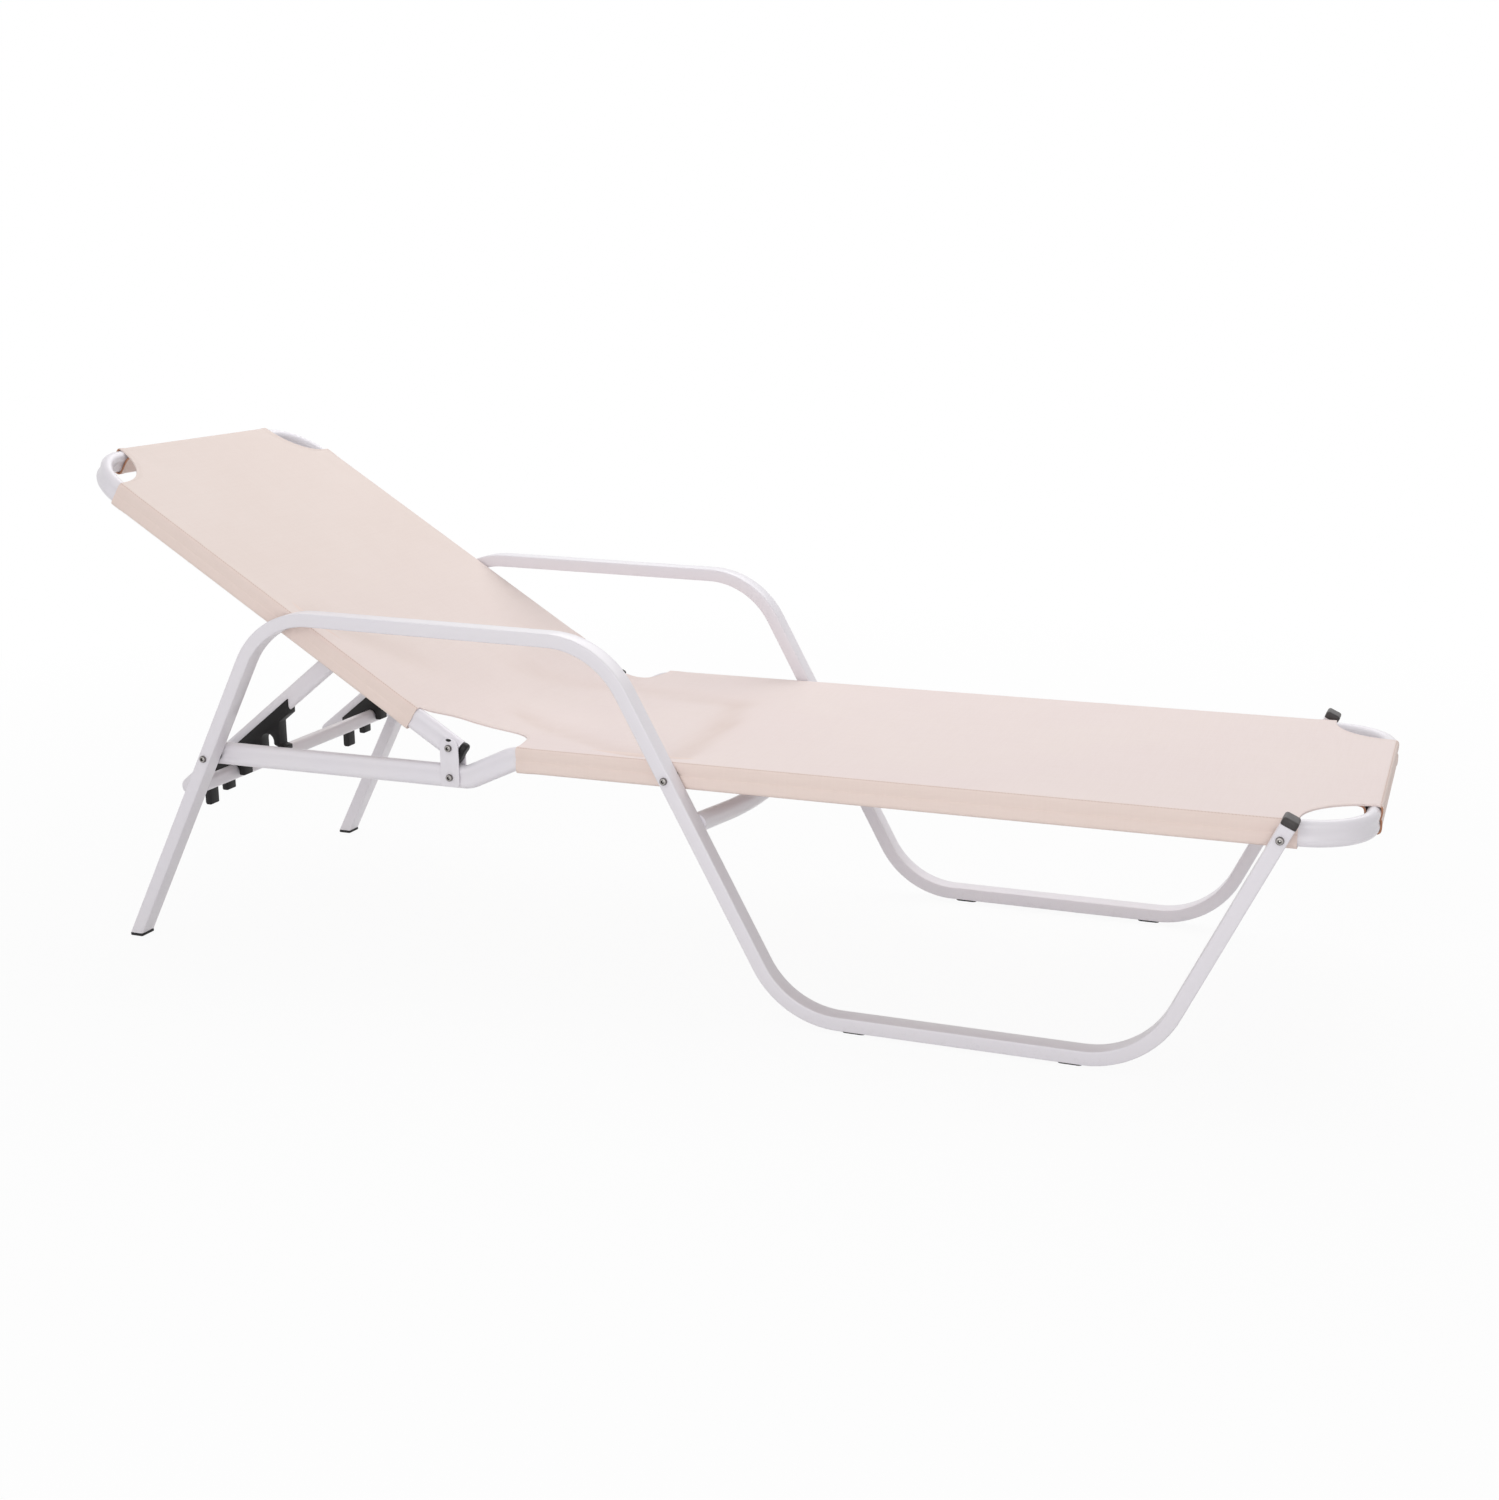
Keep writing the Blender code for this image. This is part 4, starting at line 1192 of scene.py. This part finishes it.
def layEndSleeves(sheet, rows, columns, lengths):
    for end, i, outward in ((-1, 0, lean), (1, len(rows) - 1, Vector((1, 0, 0)))):
        spot, normal, half, part = rows[i]
        stations = []
        for j, (share, inset) in enumerate(columns):
            y = share * half
            middle = spot - normal * sling["top"] + Vector((0, y, 0))
            # the brown edge runs along each side of an end sleeve, beside the windows
            hem, brownEdged = inset <= sling["hemWide"], inset == 0
            stations.append(((i, j), middle, normal, (y, lengths[i]), hem, brownEdged))
        addSleeve(sheet, ("bar", end), stations, sleeveSection(sling), outward, (0, end), end > 0)


def layCloth(s):
    rows, sheet, lengths = clothStations(s), ClothMesh(), [0.0]
    for (here, *_), (there, *_) in zip(rows, rows[1:]):
        lengths.append(lengths[-1] + (there - here).length)
    right = [(inset / rail["y"] - 1, inset) for inset in s["insets"]]
    columns = [*right, (0.0, rail["y"]), *((-share, inset) for share, inset in reversed(right))]
    for lay in (layPanel, layRailSleeves, layEndSleeves):
        lay(sheet, rows, columns, lengths)
    print("sling length", round(lengths[-1], 4))
    return sheet


def makeSling(s):
    sheet = layCloth(s)
    mesh = sheet.toMesh("slingCloth")
    print("sling area", round(sum(face.area for face in mesh.polygons), 4))
    obj = link("slingCloth", mesh)
    bpy.ops.object.mode_set(mode="EDIT")
    closeUp()
    # the first face lies on top at the head, so it tells which way the cloth came out
    if mesh.polygons[0].normal.dot(proud) < 0:
        mesh.flip_normals()
    group = obj.vertex_groups.new(name="hemGroup")
    for index, hem in enumerate(sheet.marks["hem"]):
        group.add([index], 1.0 if hem else s["thick"] / s["hemThick"], "REPLACE")
    smooth = obj.modifiers.new("smooth", "SUBSURF")
    smooth.levels = smooth.render_levels = 1
    smooth.boundary_smooth = "PRESERVE_CORNERS"
    bpy.ops.object.modifier_apply(modifier=smooth.name)
    wall = obj.modifiers.new("wall", "SOLIDIFY")
    wall.thickness, wall.offset, wall.vertex_group = s["hemThick"], 0.0, "hemGroup"
    bpy.ops.object.modifier_apply(modifier=wall.name)
    bpy.ops.object.shade_smooth_by_angle(angle=s["smoothUnder"])
    obj.data.materials.append(finishOfSlot["sling_fabric"])
    return obj


slingCloth = makeSling(sling)
at(0.668, 0, 0.3553)
onBack(sling["backSleeve"], 0, 0.0193)
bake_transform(slingCloth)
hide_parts("sling_seat", "sling_back")
print("sling made")

# floor, lamps and sky

studio = {
    "floor": (0.78, 0.78, 0.78),
    "floorSize": 60,
    "glowNear": 0.93,  # share of plain white that the camera sees in the floor, at the lounger
    "glowReach": (1.3, 3.0),  # metres from the middle over which it rises to all white
    "sky": 0.54,
    "aim": (0, 0, 0.3),
    "lamps": {
        "key": {"place": (-1.2, -2.6, 3.6), "size": 3.0, "power": 8},
        "fill": {"place": (0.6, -3.6, 0.9), "size": 3.0, "power": 52},
        "top": {"place": (0.0, 2.0, 3.3), "size": 4.0, "power": 76},
    },
}
white = (1, 1, 1)


def emptyBoard(owner):
    owner.use_nodes = True
    owner.node_tree.nodes.clear()
    return Board(owner.node_tree)


def seenPlainly(board):
    # 1 where the camera looks, straight or by way of metal or glass
    seen = board.node("LightPath", out="Is Camera Ray")
    for kind in ("Is Glossy Ray", "Is Transmission Ray"):
        seen = seen.maths("MAXIMUM", board.node("LightPath", out=kind))
    return seen


def makeFloor(s):
    clearChoice()
    bpy.ops.mesh.primitive_plane_add(size=s["floorSize"])
    floor = bpy.context.active_object
    floor.name = "studioFloor"
    mat = bpy.data.materials.new("studioFloor")
    board = emptyBoard(mat)
    matte = board.node("BsdfDiffuse", inputs={"Color": s["floor"]})
    glow = board.node("Emission", inputs={"Color": white, "Strength": 1.0})
    spot = board.node("TexCoord", out="Object")
    away = board.node("VectorMath", {"operation": "LENGTH"}, {0: spot}, "Value")
    near, far = s["glowReach"]
    share = seenPlainly(board) * board.span(away, near, far, s["glowNear"], 1.0)
    mix = board.node("MixShader", inputs={0: share, 1: matte, 2: glow})
    board.node("OutputMaterial", inputs={"Surface": mix})
    floor.data.materials.append(mat)


def makeSky(s):
    world = bpy.data.worlds.new("studio")
    bpy.context.scene.world = world
    board = emptyBoard(world)
    dim = board.node("Background", inputs={"Color": white, "Strength": s["sky"]})
    bright = board.node("Background", inputs={"Color": white, "Strength": 1.0})
    mix = board.node("MixShader", inputs={0: seenPlainly(board), 1: dim, 2: bright})
    board.node("OutputWorld", inputs={"Surface": mix})


def makeLamp(name, s, aim):
    bpy.ops.object.light_add(type="AREA", location=s["place"])
    lamp = bpy.context.active_object
    lamp.name = name
    lamp.data.shape = "SQUARE"
    lamp.data.size = s["size"]
    lamp.data.energy = s["power"]
    lamp.rotation_euler = (Vector(aim) - Vector(s["place"])).to_track_quat("-Z", "Y").to_euler()


makeFloor(studio)
makeSky(studio)
for name, lamp in studio["lamps"].items():
    makeLamp(name, lamp, studio["aim"])
print("studio made")
